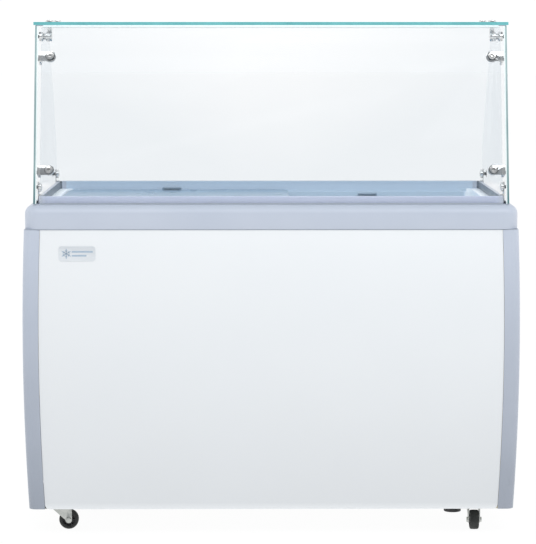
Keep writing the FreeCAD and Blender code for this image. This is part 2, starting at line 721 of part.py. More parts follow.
def leaning_rod(name, x, off, up, radius, length):
    """Cylinder square to the leaning front glass."""
    peg = doc.addObject("Part::Cylinder", name)
    bind(peg, "Radius", as_dim(radius))
    bind(peg, "Height", as_dim(length))
    x, y, z = on_front_glass(x, off, up)
    place(peg, x, y, z, lean_turn().multiply(ALONG["y"]))
    return peg


def leaning_box(name, x, off, up, length, width, height):
    block = doc.addObject("Part::Box", name)
    for prop, dim in (("Length", length), ("Width", width), ("Height", height)):
        bind(block, prop, as_dim(dim))
    x, y, z = on_front_glass(x, off, up)
    place(block, x, y, z, lean_turn())
    return block


def clamp_ups():
    return (D.upper_clamp_up, D.lower_clamp_up)


def bolt_hole_radius():
    return D.bolt_radius + D.bolt_play


def clamp_leg_centre(up):
    """Y and Z of a corner clamp's bolt through the side glass."""
    return on_front_glass(ZERO, D.glass + D.clamp_leg_y, up)[1:]


def side_glass_holes(side, name):
    holes = []
    x = D.side_glass_x - OVERRUN if side > 0 else -(D.side_glass_x + D.glass + OVERRUN)
    length = D.glass + 2 * OVERRUN
    spots = [clamp_leg_centre(up) for up in clamp_ups()]
    spots += [(D.top_clamp_front_y, D.top_clamp_bolt_z), (D.top_clamp_back_y, D.top_clamp_bolt_z)]
    spots += [(-D.bracket_y, D.bracket_bolt_z), (D.bracket_y, D.bracket_bolt_z)]
    for index, (y, z) in enumerate(spots):
        holes.append(rod("%s_hole_%d" % (name, index), x, y, z, bolt_hole_radius(), length, "x"))
    return fuse(name + "_holes", holes)


def side_glass(side, label):
    """Side pane: leaning front edge, level top, sloping back edge."""
    pane = doc.addObject("PartDesign::Body", label + "_pane")
    place(pane, x=D.side_glass_x * side)
    outline = sketch_on(pane, label + "_outline", "YZ_Plane")
    base_z = D.shoulder_z + D.guard_seat
    rise = D.guard_top_z - base_z
    lean = math.tan(math.radians(D.guard_lean.value))
    polygon(outline, [(-D.guard_front_y, base_z), (D.side_glass_back_y, base_z),
                      (D.side_glass_back_y, D.side_glass_knee_z), (D.side_glass_top_y, D.guard_top_z),
                      (-D.guard_front_y + rise * lean, D.guard_top_z)])
    sheet_glass = pad(pane, label + "_glass", outline, D.glass, reverse=side < 0)

    def back_corner(edge):
        bounds = edge.BoundBox
        across = bounds.YLength < TINY and bounds.ZLength < TINY
        return across and bounds.YMin > 0 and bounds.ZMin > base_z.value + TINY
    fillet(pane, label + "_corners", sheet_glass, back_corner, D.glass_round)
    node(cut(label, pane, side_glass_holes(side, label)), label)


def front_glass():
    """Leaning front pane with four clamp holes."""
    pane = leaning_box("front_pane", -D.front_glass_half, ZERO, ZERO,
                       D.front_glass_half * 2, D.glass, D.front_glass_height)
    holes = []
    for side in (-1, 1):
        for up in clamp_ups():
            holes.append(leaning_rod("front_hole_%d_%d" % (side, up.value),
                                     D.clamp_leg_x * side, -OVERRUN, up,
                                     bolt_hole_radius(), D.glass + 2 * OVERRUN))
    node(cut("guard_front_glass", pane, fuse("front_holes", holes)), "guard_front_glass")


def top_clamp_spots():
    return [(side, y) for side in (-1, 1) for y in (D.top_clamp_front_y, D.top_clamp_back_y)]


def top_glass():
    """Level top pane that rests on the side panes through rubber pads."""
    pane = box("top_pane", -D.top_glass_half, -D.top_glass_front_y, D.guard_top_z + D.top_pad,
               D.top_glass_half * 2, D.top_glass_depth, D.glass)
    holes = []
    for index, (side, y) in enumerate(top_clamp_spots()):
        holes.append(rod("top_hole_%d" % index, D.top_clamp_bolt_x * side, y,
                         D.guard_top_z, bolt_hole_radius(),
                         D.top_pad + D.glass + OVERRUN))
    node(cut("guard_top_glass", pane, fuse("top_holes", holes)), "guard_top_glass")


def guard_seat():
    """Rubber strips that the panes stand on."""
    strips = [box("seat_front", -D.front_glass_half, -D.front_glass_y - 1, D.shoulder_z,
                  D.front_glass_half * 2, D.seat_front_depth, D.guard_seat)]
    length = D.guard_front_y + D.side_glass_back_y
    for side in (-1, 1):
        x = D.side_glass_x if side > 0 else -(D.side_glass_x + D.glass)
        strips.append(box("seat_side_%d" % side, x, -D.guard_front_y, D.shoulder_z,
                          D.glass, length, D.guard_seat))
    node(group("guard_seat", strips), "guard_seat")


def top_pads():
    """Rubber strips between the side panes and the top pane."""
    strips = []
    for side in (-1, 1):
        x = D.side_glass_x if side > 0 else -(D.side_glass_x + D.glass)
        strips.append(box("top_pad_%d" % side, x, D.top_pad_y, D.guard_top_z,
                          D.glass, D.top_pad_length, D.top_pad))
    node(group("guard_top_pads", strips), "guard_top_pads")


def corner_clamp(side, up, pad_radius, name):
    """Angle plate with a round pad on each leg, in the glass corner."""
    plate = D.clamp_plate
    inner_x = D.side_glass_x
    half = D.clamp_half_height
    reach = inner_x - D.clamp_leg_x
    leg_x = D.clamp_leg_x if side > 0 else -inner_x
    pieces = [leaning_box(name + "_leg", leg_x, D.glass, up - half, reach, plate, half * 2)]
    wall_x = inner_x - plate if side > 0 else -inner_x
    pieces.append(leaning_box(name + "_wall", wall_x, D.glass, up - half,
                              plate, D.clamp_leg_y, half * 2))
    pieces.append(leaning_rod(name + "_pad", D.clamp_leg_x * side, D.glass, up,
                              pad_radius, D.clamp_pad_height))
    y, z = clamp_leg_centre(up)
    start = inner_x - D.clamp_pad_height if side > 0 else -inner_x
    pieces.append(rod(name + "_boss", start, y, z, pad_radius, D.clamp_pad_height, "x"))
    body = fuse(name + "_body", pieces)
    depth = D.clamp_pad_height + 2 * OVERRUN
    bores = [leaning_rod(name + "_bore_a", D.clamp_leg_x * side, D.glass - OVERRUN, up,
                         bolt_hole_radius(), depth)]
    bore_x = (inner_x + OVERRUN) - depth if side > 0 else -(inner_x + OVERRUN)
    bores.append(rod(name + "_bore_b", bore_x, y, z, bolt_hole_radius(), depth, "x"))
    return cut(name, body, fuse(name + "_bores", bores))


def corner_clamps(label, up, pad_radius):
    clamps = [corner_clamp(side, up, pad_radius, "%s_%d" % (label, side)) for side in (-1, 1)]
    node(group(label, clamps), label)


def inward_rod(name, side, start_x, y, z, radius, length):
    """Cylinder that runs from a side pane's face towards the middle."""
    x = start_x - length if side > 0 else -start_x
    return rod(name, x, y, z, radius, length, "x")


def barrel_clamp(name, side, y):
    """Lying barrel on a side pane with a stem up to the top pane."""
    x = D.top_clamp_bolt_x * side
    z = D.top_clamp_bolt_z
    barrel_end = D.barrel_x + D.barrel_length
    top = D.guard_top_z + D.top_pad
    body = fuse(name + "_body", [
        inward_rod(name + "_foot", side, D.side_glass_x, y, z, D.barrel_radius, D.foot_length),
        inward_rod(name + "_waist", side, D.side_glass_x, y, z, D.waist_radius,
                   D.side_glass_x - D.barrel_x),
        inward_rod(name + "_barrel", side, barrel_end, y, z, D.barrel_radius, D.barrel_length),
        rod(name + "_stem", x, y, z, D.stem_radius, top - z),
        rod(name + "_flange", x, y, top - D.flange_height, D.flange_radius, D.flange_height),
    ])
    bores = fuse(name + "_bores", [
        rod(name + "_bore_a", x, y, top - D.stem_bolt, bolt_hole_radius(), D.stem_bolt + OVERRUN),
        inward_rod(name + "_bore_b", side, D.side_glass_x + OVERRUN, y, z,
                   bolt_hole_radius(), D.foot_length + OVERRUN),
    ])
    return cut(name, body, bores)


def angle_clamp(name, side, y):
    """Thin angle plate between a side pane and the top pane."""
    half = D.top_clamp_half
    top = D.guard_top_z + D.top_pad
    plate = D.clamp_plate
    reach = D.side_glass_x - D.top_clamp_bolt_x + half
    arm_x = D.top_clamp_bolt_x - half if side > 0 else -D.side_glass_x
    wall_x = D.side_glass_x - plate if side > 0 else -D.side_glass_x
    body = fuse(name + "_body", [
        box(name + "_arm", arm_x, y - half, top - plate, reach, half * 2, plate),
        box(name + "_wall", wall_x, y - half, top - D.top_clamp_drop,
            plate, half * 2, D.top_clamp_drop),
        inward_rod(name + "_boss", side, D.side_glass_x, y, D.top_clamp_bolt_z,
                   half, D.clamp_pad_height),
    ])
    bores = fuse(name + "_bores", [
        rod(name + "_bore_a", D.top_clamp_bolt_x * side, y, top - plate - OVERRUN,
            bolt_hole_radius(), plate + 2 * OVERRUN),
        inward_rod(name + "_bore_b", side, D.side_glass_x + OVERRUN, y, D.top_clamp_bolt_z,
                   bolt_hole_radius(), D.clamp_pad_height + 2 * OVERRUN),
    ])
    return cut(name, body, bores)


def top_clamps():
    """Barrel clamps in front and angle clamps behind hold the top pane."""
    clamps = []
    for index, (side, y) in enumerate(top_clamp_spots()):
        make = barrel_clamp if y.value < 0 else angle_clamp
        clamps.append(make("top_clamp_%d" % index, side, y))
    node(group("guard_top_clamps", clamps), "guard_top_clamps")


def base_bracket_spots():
    return [(side, D.bracket_y * end) for side in (-1, 1) for end in (-1, 1)]


def base_brackets():
    """Four brackets that hold the side panes to the rim."""
    brackets = []
    half = D.bracket_half
    low = D.bracket_base_z
    plate = D.bracket_plate
    face_x = D.side_glass_x - D.glass_gap
    foot_x = D.rim_half_width - D.rim_wall
    foot = face_x - foot_x
    for index, (side, y) in enumerate(base_bracket_spots()):
        name = "base_bracket_%d" % index
        wall_x = face_x - plate if side > 0 else -face_x
        foot_start = foot_x if side > 0 else -face_x
        body = fuse(name + "_body", [
            box(name + "_wall", wall_x, y - half, low, plate, half * 2, D.bracket_top_z - low),
            box(name + "_foot", foot_start, y - half, D.rim_top_z, foot, half * 2, D.bracket_foot),
            inward_rod(name + "_boss", side, face_x, y, D.bracket_bolt_z,
                       D.bracket_pad_radius, D.bracket_boss),
        ])
        bore = inward_rod(name + "_bore", side, face_x + OVERRUN, y, D.bracket_bolt_z,
                          bolt_hole_radius(), D.bracket_boss + 2 * OVERRUN)
        brackets.append(cut(name, body, bore))
    node(group("guard_base_brackets", brackets), "guard_base_brackets")


def side_bolt(name, side, y, z, inner, cap_radius, cap_height, nut=True):
    """Bolt through a side pane: round cap outside, nut inside."""
    outer_x = D.side_glass_x + D.glass
    pieces = [
        inward_rod(name + "_shank", side, outer_x, y, z, D.bolt_radius, D.glass + inner),
        inward_rod(name + "_cap", side, outer_x + cap_height, y, z, cap_radius, cap_height),
    ]
    if nut:
        pieces.append(inward_rod(name + "_nut", side, D.side_glass_x - inner, y, z,
                                 D.nut_radius, D.nut_height))
    return fuse(name, pieces)


def corner_clamp_bolts(side, up):
    """The two bolts of one corner clamp."""
    name = "clamp_bolt_%d_%d" % (side, up.value)
    inner = D.clamp_pad_height
    x = D.clamp_leg_x * side
    y, z = clamp_leg_centre(up)
    front = fuse(name + "_front", [
        leaning_rod(name + "_shank", x, ZERO, up, D.bolt_radius, D.glass + inner),
        leaning_rod(name + "_cap", x, -D.cap_height, up, D.cap_radius, D.cap_height),
        leaning_rod(name + "_nut", x, D.glass + inner, up, D.nut_radius, D.nut_height),
    ])
    return [front, side_bolt(name + "_side", side, y, z, inner, D.cap_radius, D.cap_height)]


def top_clamp_bolts(name, side, y):
    """The upright bolt and the side bolt of one top clamp."""
    x = D.top_clamp_bolt_x * side
    in_front = y.value < 0
    grip = D.stem_bolt if in_front else D.clamp_plate
    under_glass = D.guard_top_z + D.top_pad
    low = under_glass - grip
    upright = [
        rod(name + "_shank", x, y, low, D.bolt_radius, grip + D.glass),
        rod(name + "_cap", x, y, under_glass + D.glass, D.cap_radius, D.top_cap_height),
    ]
    if not in_front:
        upright.append(rod(name + "_nut", x, y, low - D.nut_height, D.nut_radius, D.nut_height))
    side_grip = D.foot_length if in_front else D.clamp_pad_height
    return [fuse(name, upright),
            side_bolt(name + "_side", side, y, D.top_clamp_bolt_z, side_grip,
                      D.small_cap_radius, D.cap_height, nut=not in_front)]


def guard_bolts():
    """All the guard's bolts and round caps."""
    bolts = []
    for side in (-1, 1):
        for up in clamp_ups():
            bolts += corner_clamp_bolts(side, up)
    for index, (side, y) in enumerate(top_clamp_spots()):
        bolts += top_clamp_bolts("top_bolt_%d" % index, side, y)
    for index, (side, y) in enumerate(base_bracket_spots()):
        bolts.append(side_bolt("base_bolt_%d" % index, side, y, D.bracket_bolt_z,
                               D.bracket_boss + D.glass_gap, D.small_cap_radius,
                               D.bracket_cap_height))
    node(group("guard_bolts", bolts), "guard_bolts")


# ---------------------------------------------------------------- casters

CASTERS = {
    "front_left": (-1, -1, 0),
    "front_right": (1, -1, -90),
    "rear_left": (-1, 1, 90),
    "rear_right": (1, 1, 90),
}


def caster_spot(side, end):
    """Kingpin position; the set stands a little to the left of the middle."""
    return D.caster_x * side + D.caster_shift, D.caster_y * end


def caster_plates():
    """Fixed caster plates with their bearing races."""
    plates = []
    half = D.caster_plate_size / 2
    plate_z = D.body_base_z - D.caster_plate_thick
    for key, (side, end, angle) in CASTERS.items():
        name = "caster_plate_" + key
        x, y = caster_spot(side, end)
        body = fuse(name + "_body", [
            box(name + "_flat", x - half, y - half, plate_z,
                D.caster_plate_size, D.caster_plate_size, D.caster_plate_thick),
            rod(name + "_race", x, y, plate_z - D.caster_race_height,
                D.caster_race_radius, D.caster_race_height),
        ])
        bore = rod(name + "_bore", x, y, plate_z - D.caster_race_height - OVERRUN,
                   D.kingpin_radius + D.run_fit,
                   D.caster_race_height + D.caster_plate_thick + 2 * OVERRUN)
        plates.append(cut(name, body, bore))
    node(group("caster_plates", plates), "caster_plates")


def fork_arm(name, hand):
    """Arm that narrows from the crown to a round end at the axle."""
    arm_y = D.fork_inner + D.fork_arm if hand > 0 else -D.fork_inner
    taper = doc.addObject("Part::Wedge", name + "_taper")
    for prop, dim in (("Xmin", D.wheel_trail - D.fork_tip_radius),
                      ("Xmax", D.wheel_trail + D.fork_tip_radius),
                      ("X2min", D.fork_crown_back), ("X2max", D.fork_crown_lead),
                      ("Ymin", ZERO), ("Ymax", D.crown_top_z - D.wheel_radius),
                      ("Zmin", ZERO), ("Zmax", D.fork_arm),
                      ("Z2min", ZERO), ("Z2max", D.fork_arm)):
        bind(taper, prop, dim)
    place(taper, ZERO, arm_y, D.wheel_radius, FreeCAD.Rotation(X_AXIS, 90))
    tip_y = D.fork_inner if hand > 0 else -(D.fork_inner + D.fork_arm)
    tip = rod(name + "_tip", D.wheel_trail, tip_y, D.wheel_radius,
              D.fork_tip_radius, D.fork_arm, "y")
    nut_start = D.fork_inner + D.fork_arm
    nut_y = nut_start if hand > 0 else -(nut_start + D.axle_nut_height)
    nut = rod(name + "_nut", D.wheel_trail, nut_y, D.wheel_radius,
              D.axle_nut_radius, D.axle_nut_height, "y")
    return [taper, tip, nut]


def caster_fork(key, label):
    """Swivelling fork with its kingpin, axle and axle nuts."""
    side, end, angle = CASTERS[key]
    crown_z = D.crown_top_z - D.crown_thick
    axle_half = D.fork_inner + D.fork_arm + D.axle_nut_height
    pieces = [
        rod(label + "_crown", ZERO, ZERO, crown_z, D.crown_radius, D.crown_thick),
        rod(label + "_kingpin", ZERO, ZERO, crown_z, D.kingpin_radius,
            D.body_base_z - crown_z - D.plate_lap),
        rod(label + "_axle", D.wheel_trail, -axle_half, D.wheel_radius,
            D.axle_radius, axle_half * 2, "y"),
    ]
    for hand in (-1, 1):
        pieces += fork_arm("%s_arm_%d" % (label, hand), hand)
    fork = fuse(label, pieces)
    x, y = caster_spot(side, end)
    place(fork, x, y, ZERO, FreeCAD.Rotation(Z_AXIS, angle))
    node(fork, label)


def caster_wheel(key, label):
    """Solid wheel with a rounded tread and sunk faces."""
    side, end, angle = CASTERS[key]
    turn = FreeCAD.Rotation(Z_AXIS, angle)
    offset = turn.multVec(FreeCAD.Vector(D.wheel_trail.value, 0, 0))
    x, y = caster_spot(side, end)
    body = new_body(label, x + offset.x, y + offset.y, D.wheel_radius, turn)
    disc = sketch_on(body, label + "_disc", "XZ_Plane")
    circle_at(disc, ZERO, ZERO, D.wheel_radius)
    tread = pad(body, label + "_tread", disc, D.wheel_width, symmetric=True)
    fillet(body, label + "_rounding", tread,
           lambda edge: edge.BoundBox.YLength < TINY, D.tyre_round)
    for hand in (-1, 1):
        name = "%s_face_%s" % (label, "back" if hand > 0 else "front")
        sunk = sketch_on(body, name, "XZ_Plane", -D.wheel_width / 2 * hand)
        circle_at(sunk, ZERO, ZERO, D.wheel_radius - D.tyre_depth)
        circle_at(sunk, ZERO, ZERO, D.axle_radius + D.hub_wall)
        pocket(body, name + "_cut", sunk, D.face_depth, reverse=hand > 0)
    bore = sketch_on(body, label + "_bore", "XZ_Plane")
    circle_at(bore, ZERO, ZERO, D.axle_radius + D.run_fit)
    pocket(body, label + "_axle_hole", bore, D.wheel_width + 2 * OVERRUN, symmetric=True)


# ------------------------------------------------------------------ drain

def drain():
    """Drain pipe from the tank floor, outlet cup and plug."""
    x, y = D.drain_x, D.drain_y
    low = D.body_base_z
    high = D.tank_floor_z - D.tank_sheet
    pipe = cut("drain_pipe",
               rod("drain_pipe_wall", x, y, low, D.drain_pipe_radius, high - low),
               rod("drain_pipe_bore", x, y, low - OVERRUN, D.drain_bore_radius,
                   high - low + 2 * OVERRUN))
    node(pipe, "drain_pipe")
    cup = doc.addObject("Part::Cone", "drain_cup_cone")
    bind(cup, "Radius1", D.drain_cup_tip)
    bind(cup, "Radius2", D.drain_cup_top)
    bind(cup, "Height", D.drain_cup_height)
    place(cup, x, y, low - D.drain_cup_height)
    outlet = cut("drain_cup", cup,
                 rod("drain_cup_bore", x, y, low - D.drain_cup_height - OVERRUN,
                     D.drain_cup_bore, D.drain_cup_height + 2 * OVERRUN))
    node(outlet, "drain_cup")
    floor = D.tank_floor_z
    flange_z = floor + D.plug_gap
    plug = fuse("drain_plug", [
        rod("plug_stem", x, y, floor - D.drain_plug_depth, D.drain_plug_radius,
            D.drain_plug_depth + D.plug_flange_height),
        rod("plug_flange", x, y, flange_z, D.drain_plug_flange, D.plug_flange_height),
        rod("plug_knob", x, y, flange_z, D.plug_knob_radius,
            D.plug_flange_height + D.plug_knob_height),
    ])
    node(plug, "drain_plug")


# ----------------------------------------------------- rear and machinery

def rear_y():
    return D.pillar_face_y - D.panel_step


def control_y():
    return rear_y() - D.control_recess


def rear_grille():
    """Slotted air grille on the rear sheet."""
    body = new_body("rear_grille", y=rear_y())
    outline = sketch_on(body, "grille_outline", "XZ_Plane")
    rectangle(outline, D.grille_x0, D.grille_x1, D.grille_z0, D.grille_z1)
    pad(body, "grille_plate", outline, D.steel_sheet, reverse=True)
    slot = sketch_on(body, "grille_slot", "XZ_Plane")
    low = D.grille_z0 + D.grille_first_slot
    rectangle(slot, D.grille_x0 + D.grille_margin, D.grille_x1 - D.grille_margin,
              low, low + D.grille_slot_height)
    cutter = pocket(body, "grille_cut", slot, (D.steel_sheet + OVERRUN) * 2, symmetric=True)
    repeat(body, "grille_rows", cutter, slot, "V_Axis", D.grille_pitch, D.grille_count)


def control_middle():
    return (D.control_x0 + D.control_x1) / 2


def control_panel():
    """Plate sunk into the rear, bored for the spindle and the lead."""
    back = control_y()
    middle = control_middle()
    plate = box("control_flat", D.control_x0, back, D.control_z0,
                D.control_x1 - D.control_x0, D.steel_sheet, D.control_z1 - D.control_z0)
    holes = [
        rod("control_hole_%d" % index, middle, back - OVERRUN, z, radius,
            D.steel_sheet + 2 * OVERRUN, "y")
        for index, (z, radius) in enumerate(((D.knob_z, D.spindle_hole_radius),
                                             (D.inlet_z, D.inlet_bore_radius)))
    ]
    node(cut("control_panel", plate, fuse("control_holes", holes)), "control_panel")


def thermostat():
    """Thermostat box behind the control plate, its knob and the display."""
    back = control_y()
    middle = control_middle()
    body = box("thermostat_box", middle - D.thermostat_width / 2, back - D.thermostat_depth,
               D.knob_z - D.thermostat_height / 2,
               D.thermostat_width, D.thermostat_depth, D.thermostat_height)
    spindle_rod = rod("thermostat_spindle", middle, back - OVERRUN, D.knob_z,
                      D.spindle_radius, D.spindle_reach + OVERRUN, "y")
    node(fuse("thermostat", [body, spindle_rod]), "thermostat")
    face = back + D.steel_sheet
    skirt = face + D.knob_gap
    knob_body = fuse("knob_body", [
        rod("knob_skirt", middle, skirt, D.knob_z, D.knob_radius, D.knob_skirt, "y"),
        rod("knob_barrel", middle, skirt, D.knob_z, D.knob_barrel_radius, D.knob_height, "y"),
        box("knob_mark", middle - D.knob_mark_width / 2, skirt, D.knob_z,
            D.knob_mark_width, D.knob_height + OVERRUN, D.knob_mark_length),
    ])
    knob_bore = rod("knob_bore", middle, face - OVERRUN, D.knob_z,
                    D.spindle_radius + D.run_fit, D.spindle_reach + OVERRUN, "y")
    node(cut("thermostat_knob", knob_body, knob_bore), "thermostat_knob")
    display = box("temperature_display", middle - D.display_width / 2, face,
                  D.display_z, D.display_width, D.display_thick, D.display_height)
    node(display, "temperature_display")


def power_inlet():
    """Gland where the supply lead would enter the control plate."""
    middle = control_middle()
    height = D.inlet_z
    face = control_y() + D.steel_sheet
    length = D.inlet_collar + D.inlet_nose
    body = fuse("inlet_body", [
        rod("inlet_collar", middle, face, height, D.inlet_collar_radius, D.inlet_collar, "y"),
        rod("inlet_nose", middle, face, height, D.inlet_nose_radius, length, "y"),
    ])
    bore = rod("inlet_bore", middle, face - OVERRUN, height, D.inlet_bore_radius,
               length + 2 * OVERRUN, "y")
    node(cut("power_inlet_gland", body, bore), "power_inlet_gland")


def compressor():
    """Sealed compressor can on a foot plate with four rubber feet."""
    x, y = D.compressor_x, D.compressor_y
    floor = D.body_base_z + D.pan_sheet
    base = floor + D.compressor_foot
    can = doc.addObject("PartDesign::Body", "compressor_can")
    place(can, x, y, base)
    outline = sketch_on(can, "can_outline", "XY_Plane")
    circle_at(outline, ZERO, ZERO, D.compressor_radius)
    height = D.compressor_height
    drum = pad(can, "can_drum", outline, height)
    fillet(can, "can_dome", drum, lambda edge: edge.BoundBox.ZLength < TINY, D.can_dome)
    shell = fuse("compressor_shell", [
        can,
        box("compressor_terminals", x + D.compressor_radius - D.terminal_sunk,
            y - D.terminal_width / 2, base + D.terminal_lift,
            D.terminal_reach + D.terminal_sunk, D.terminal_width, D.terminal_height),
        box("compressor_plate", x - D.mount_plate_length / 2, y - D.mount_plate_width / 2,
            base - D.plate_lap, D.mount_plate_length, D.mount_plate_width, D.mount_plate_thick),
    ])
    node(shell, "compressor")
    feet = []
    for side in (-1, 1):
        for end in (-1, 1):
            feet.append(rod("foot_%d_%d" % (side, end), x + D.foot_x * side, y + D.foot_y * end,
                            floor, D.foot_radius, D.compressor_foot - D.plate_lap))
    node(group("compressor_feet", feet), "compressor_feet")


def condenser():
    """Row of fins crossed by straight tubes joined by end bends."""
    x0 = D.condenser_x - D.condenser_width / 2
    y0 = D.condenser_y - D.condenser_depth / 2
    radius = D.coil_tube_radius
    ends = (x0 - D.coil_overhang, x0 + D.condenser_width + D.coil_overhang)
    tubes = []
    for step in range(int(D.coil_passes.value)):
        z = D.condenser_z0 + D.coil_first_z + D.coil_pitch * step
        for row in (-1, 1):
            y = D.condenser_y + D.coil_row_y * row
            tubes.append(rod("tube_%d_%d" % (step, row), ends[0], y, z, radius,
                             ends[1] - ends[0], "x"))
            if step < D.coil_passes.value - 1:
                tubes.append(rod("bend_%d_%d" % (step, row), ends[(step + 1) % 2], y, z,
                                 radius, D.coil_pitch))
    fins = []
    for index in range(int(D.fin_count.value)):
        fins.append(box("fin_%02d" % index, x0 + D.fin_pitch * index + D.fin_lead, y0,
                        D.condenser_z0, D.fin_sheet, D.condenser_depth, D.condenser_height))
    node(fuse("condenser_coil", fins + tubes), "condenser_coil")


def fan():
    """Condenser fan: motor on a bracket, turning blades on its shaft."""
    x, y, z = D.condenser_x, D.fan_y, D.fan_z
    floor = D.body_base_z + D.pan_sheet
    motor_y = y - D.fan_motor_length - D.fan_motor_gap
    motor = fuse("fan_motor", [
        rod("motor_can", x, motor_y, z, D.fan_motor_radius, D.fan_motor_length, "y"),
        rod("motor_shaft", x, motor_y, z, D.fan_shaft_radius,
            D.fan_motor_length + D.fan_shaft_reach, "y"),
        box("motor_stand", x - D.stand_width / 2, motor_y + D.stand_lead, floor,
            D.stand_width, D.stand_depth, z - floor - D.stand_top_drop),
        box("motor_foot", x - D.stand_foot_width / 2, motor_y + D.stand_foot_lead, floor,
            D.stand_foot_width, D.stand_foot_depth, D.stand_foot_thick),
    ])
    node(motor, "fan_motor")
    hub = rod("fan_hub", x, y, z, D.fan_hub_radius, D.fan_hub_height, "y")
    pieces = [hub]
    count = int(D.fan_blade_count.value)
    for index in range(count):
        blade = doc.addObject("Part::Box", "blade_%d" % index)
        bind(blade, "Length", D.fan_blade_width)
        bind(blade, "Width", D.fan_blade_sheet)
        bind(blade, "Height", D.fan_radius - D.fan_hub_radius + D.fan_blade_root * 2)
        spin = FreeCAD.Rotation(Y_AXIS, 360.0 / count * index)
        tilt = FreeCAD.Rotation(Z_AXIS, D.fan_blade_pitch.value)
        turn = spin.multiply(tilt)
        corner = turn.multVec(FreeCAD.Vector(
            -D.fan_blade_width.value / 2, -D.fan_blade_sheet.value / 2, 0))
        out = spin.multVec(FreeCAD.Vector(
            0, 0, D.fan_hub_radius.value - D.fan_blade_root.value))
        place(blade, x + corner.x + out.x, y + D.fan_hub_height / 2 + corner.y + out.y,
              z + corner.z + out.z, turn)
        pieces.append(blade)
    bore = rod("fan_bore", x, y - OVERRUN, z, D.fan_shaft_radius + D.run_fit,
               D.fan_hub_height + 2 * OVERRUN, "y")
    node(cut("fan_blades", fuse("fan_solid", pieces), bore), "fan_blades")


def refrigerant_line():
    """Copper line from the compressor to the condenser with its drier."""
    body = new_body("refrigerant_line")
    height = D.line_z
    path = sketch_on(body, "line_path", "XY_Plane", height)
    shell_x = D.compressor_x - D.compressor_radius
    x = shell_x - D.line_offset
    points = [(shell_x, D.compressor_y), (x, D.compressor_y), (x, D.line_end_y)]
    for (ax, ay), (bx, by) in zip(points, points[1:]):
        path.addGeometry(Part.LineSegment(FreeCAD.Vector(ax.value, ay.value, 0),
                                          FreeCAD.Vector(bx.value, by.value, 0)))
    path.addConstraint(Sketcher.Constraint("Coincident", 0, 2, 1, 1))
    for geo, end, point in ((0, 1, points[0]), (0, 2, points[1]), (1, 2, points[2])):
        pin_point(path, geo, end, *point)
    section = sketch_on(body, "line_section", "YZ_Plane", shell_x)
    circle_at(section, D.compressor_y, height, D.line_radius)
    sweep = body.newObject("PartDesign::AdditivePipe", "line_sweep")
    sweep.Profile = section
    sweep.Spine = path
    sweep.Transition = "Right corner"
    body.Tip = sweep
    doc.recompute()
    drier = rod("filter_drier", x, ZERO, height, D.drier_radius, D.drier_length, "y")
    bore = rod("drier_bore", x, -OVERRUN, height, D.line_radius + D.foam_gap,
               D.drier_length + 2 * OVERRUN, "y")
    node(cut("filter_drier", drier, bore), "filter_drier")


def rear_screws():
    """Low head screws of the grille and the control plate."""
    screws = []
    inset = D.screw_inset
    for x in (D.grille_x0 + inset, D.grille_x1 - inset):
        for z in (D.grille_z0 + inset, D.grille_z1 - inset):
            screws.append((x, rear_y() + D.steel_sheet, z))
    for z in (D.control_z0 + inset * 2, D.control_z1 - inset * 2):
        screws.append((control_middle(), control_y() + D.steel_sheet, z))
    heads = [rod("rear_screw_%d" % index, x, y, z, D.screw_radius, D.screw_height, "y")
             for index, (x, y, z) in enumerate(screws)]
    node(group("rear_screws", heads), "rear_screws")


def badge():
    """Blank oval-cornered badge plate on the front sheet."""
    body = new_body("badge_plate", D.badge_x, -rear_y(), D.badge_z)
    outline = sketch_on(body, "badge_outline", "XZ_Plane")
    round_rectangle(outline, D.badge_width / 2, D.badge_height / 2, D.badge_corner)
    pad(body, "badge_blank", outline, D.badge_thick)


# ----------------------------------------------------------------- build

for hand, word in ((-1, "left"), (1, "right")):
    side_panel(hand, "side_panel_" + word)
    pillar(hand, -1, "pillar_front_" + word)
    pillar(hand, 1, "pillar_rear_" + word)
face_sheet("front_panel", -1)
rear_panel()
top_frame()
lid_collar()
inner_tank()
insulation()
base_pan()
badge()

upper_half_y = D.rim_half_depth - D.rim_wall
lower_half_y = upper_half_y - D.upper_step_width
upper_top = D.upper_step_z + D.lid_lift + D.lid_flange
lower_top = D.lower_step_z + D.lid_lift + D.lid_flange
for hand, word, top, half in ((-1, "left", upper_top, upper_half_y),
                              (1, "right", lower_top, lower_half_y)):
    lid(hand, "lid_" + word, top, half)
    lid_pull(hand, "lid_%s_pull" % word, top)
    lid_grip(hand, "lid_%s_grip" % word, top)
    lid_seal(hand, "lid_%s_seal" % word, top)

side_glass(-1, "guard_side_glass_left")
side_glass(1, "guard_side_glass_right")
front_glass()
top_glass()
guard_seat()
top_pads()
corner_clamps("guard_clamps_upper", D.upper_clamp_up, D.upper_clamp_pad)
corner_clamps("guard_clamps_lower", D.lower_clamp_up, D.lower_clamp_pad)
top_clamps()
base_brackets()
guard_bolts()

caster_plates()
for corner in CASTERS:
    caster_fork(corner, "caster_fork_" + corner)
    caster_wheel(corner, "caster_wheel_" + corner)

drain()
rear_grille()
control_panel()
thermostat()
power_inlet()
compressor()
condenser()
fan()
refrigerant_line()
rear_screws()

doc.recompute()

for thing in doc.Objects:
    for state in thing.State:
        if "Invalid" in state or "Error" in state:
            raise RuntimeError("%s is %s" % (thing.Name, state))
for label, thing in NODES.items():
    shape = thing.Shape
    if shape.isNull() or not shape.isValid() or shape.Volume <= 0:
        raise RuntimeError("%s has no good shape" % label)
for label, thing in NODES.items():
    thing.Shape.exportStep("parts/%s.step" % label)
    bounds = thing.Shape.BoundBox
    print("%-24s solids %2d  x %8.1f %8.1f  y %8.1f %8.1f  z %8.1f %8.1f" % (
        label, len(thing.Shape.Solids), bounds.XMin, bounds.XMax,
        bounds.YMin, bounds.YMax, bounds.ZMin, bounds.ZMax))
print("nodes", len(NODES))
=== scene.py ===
import json
import math

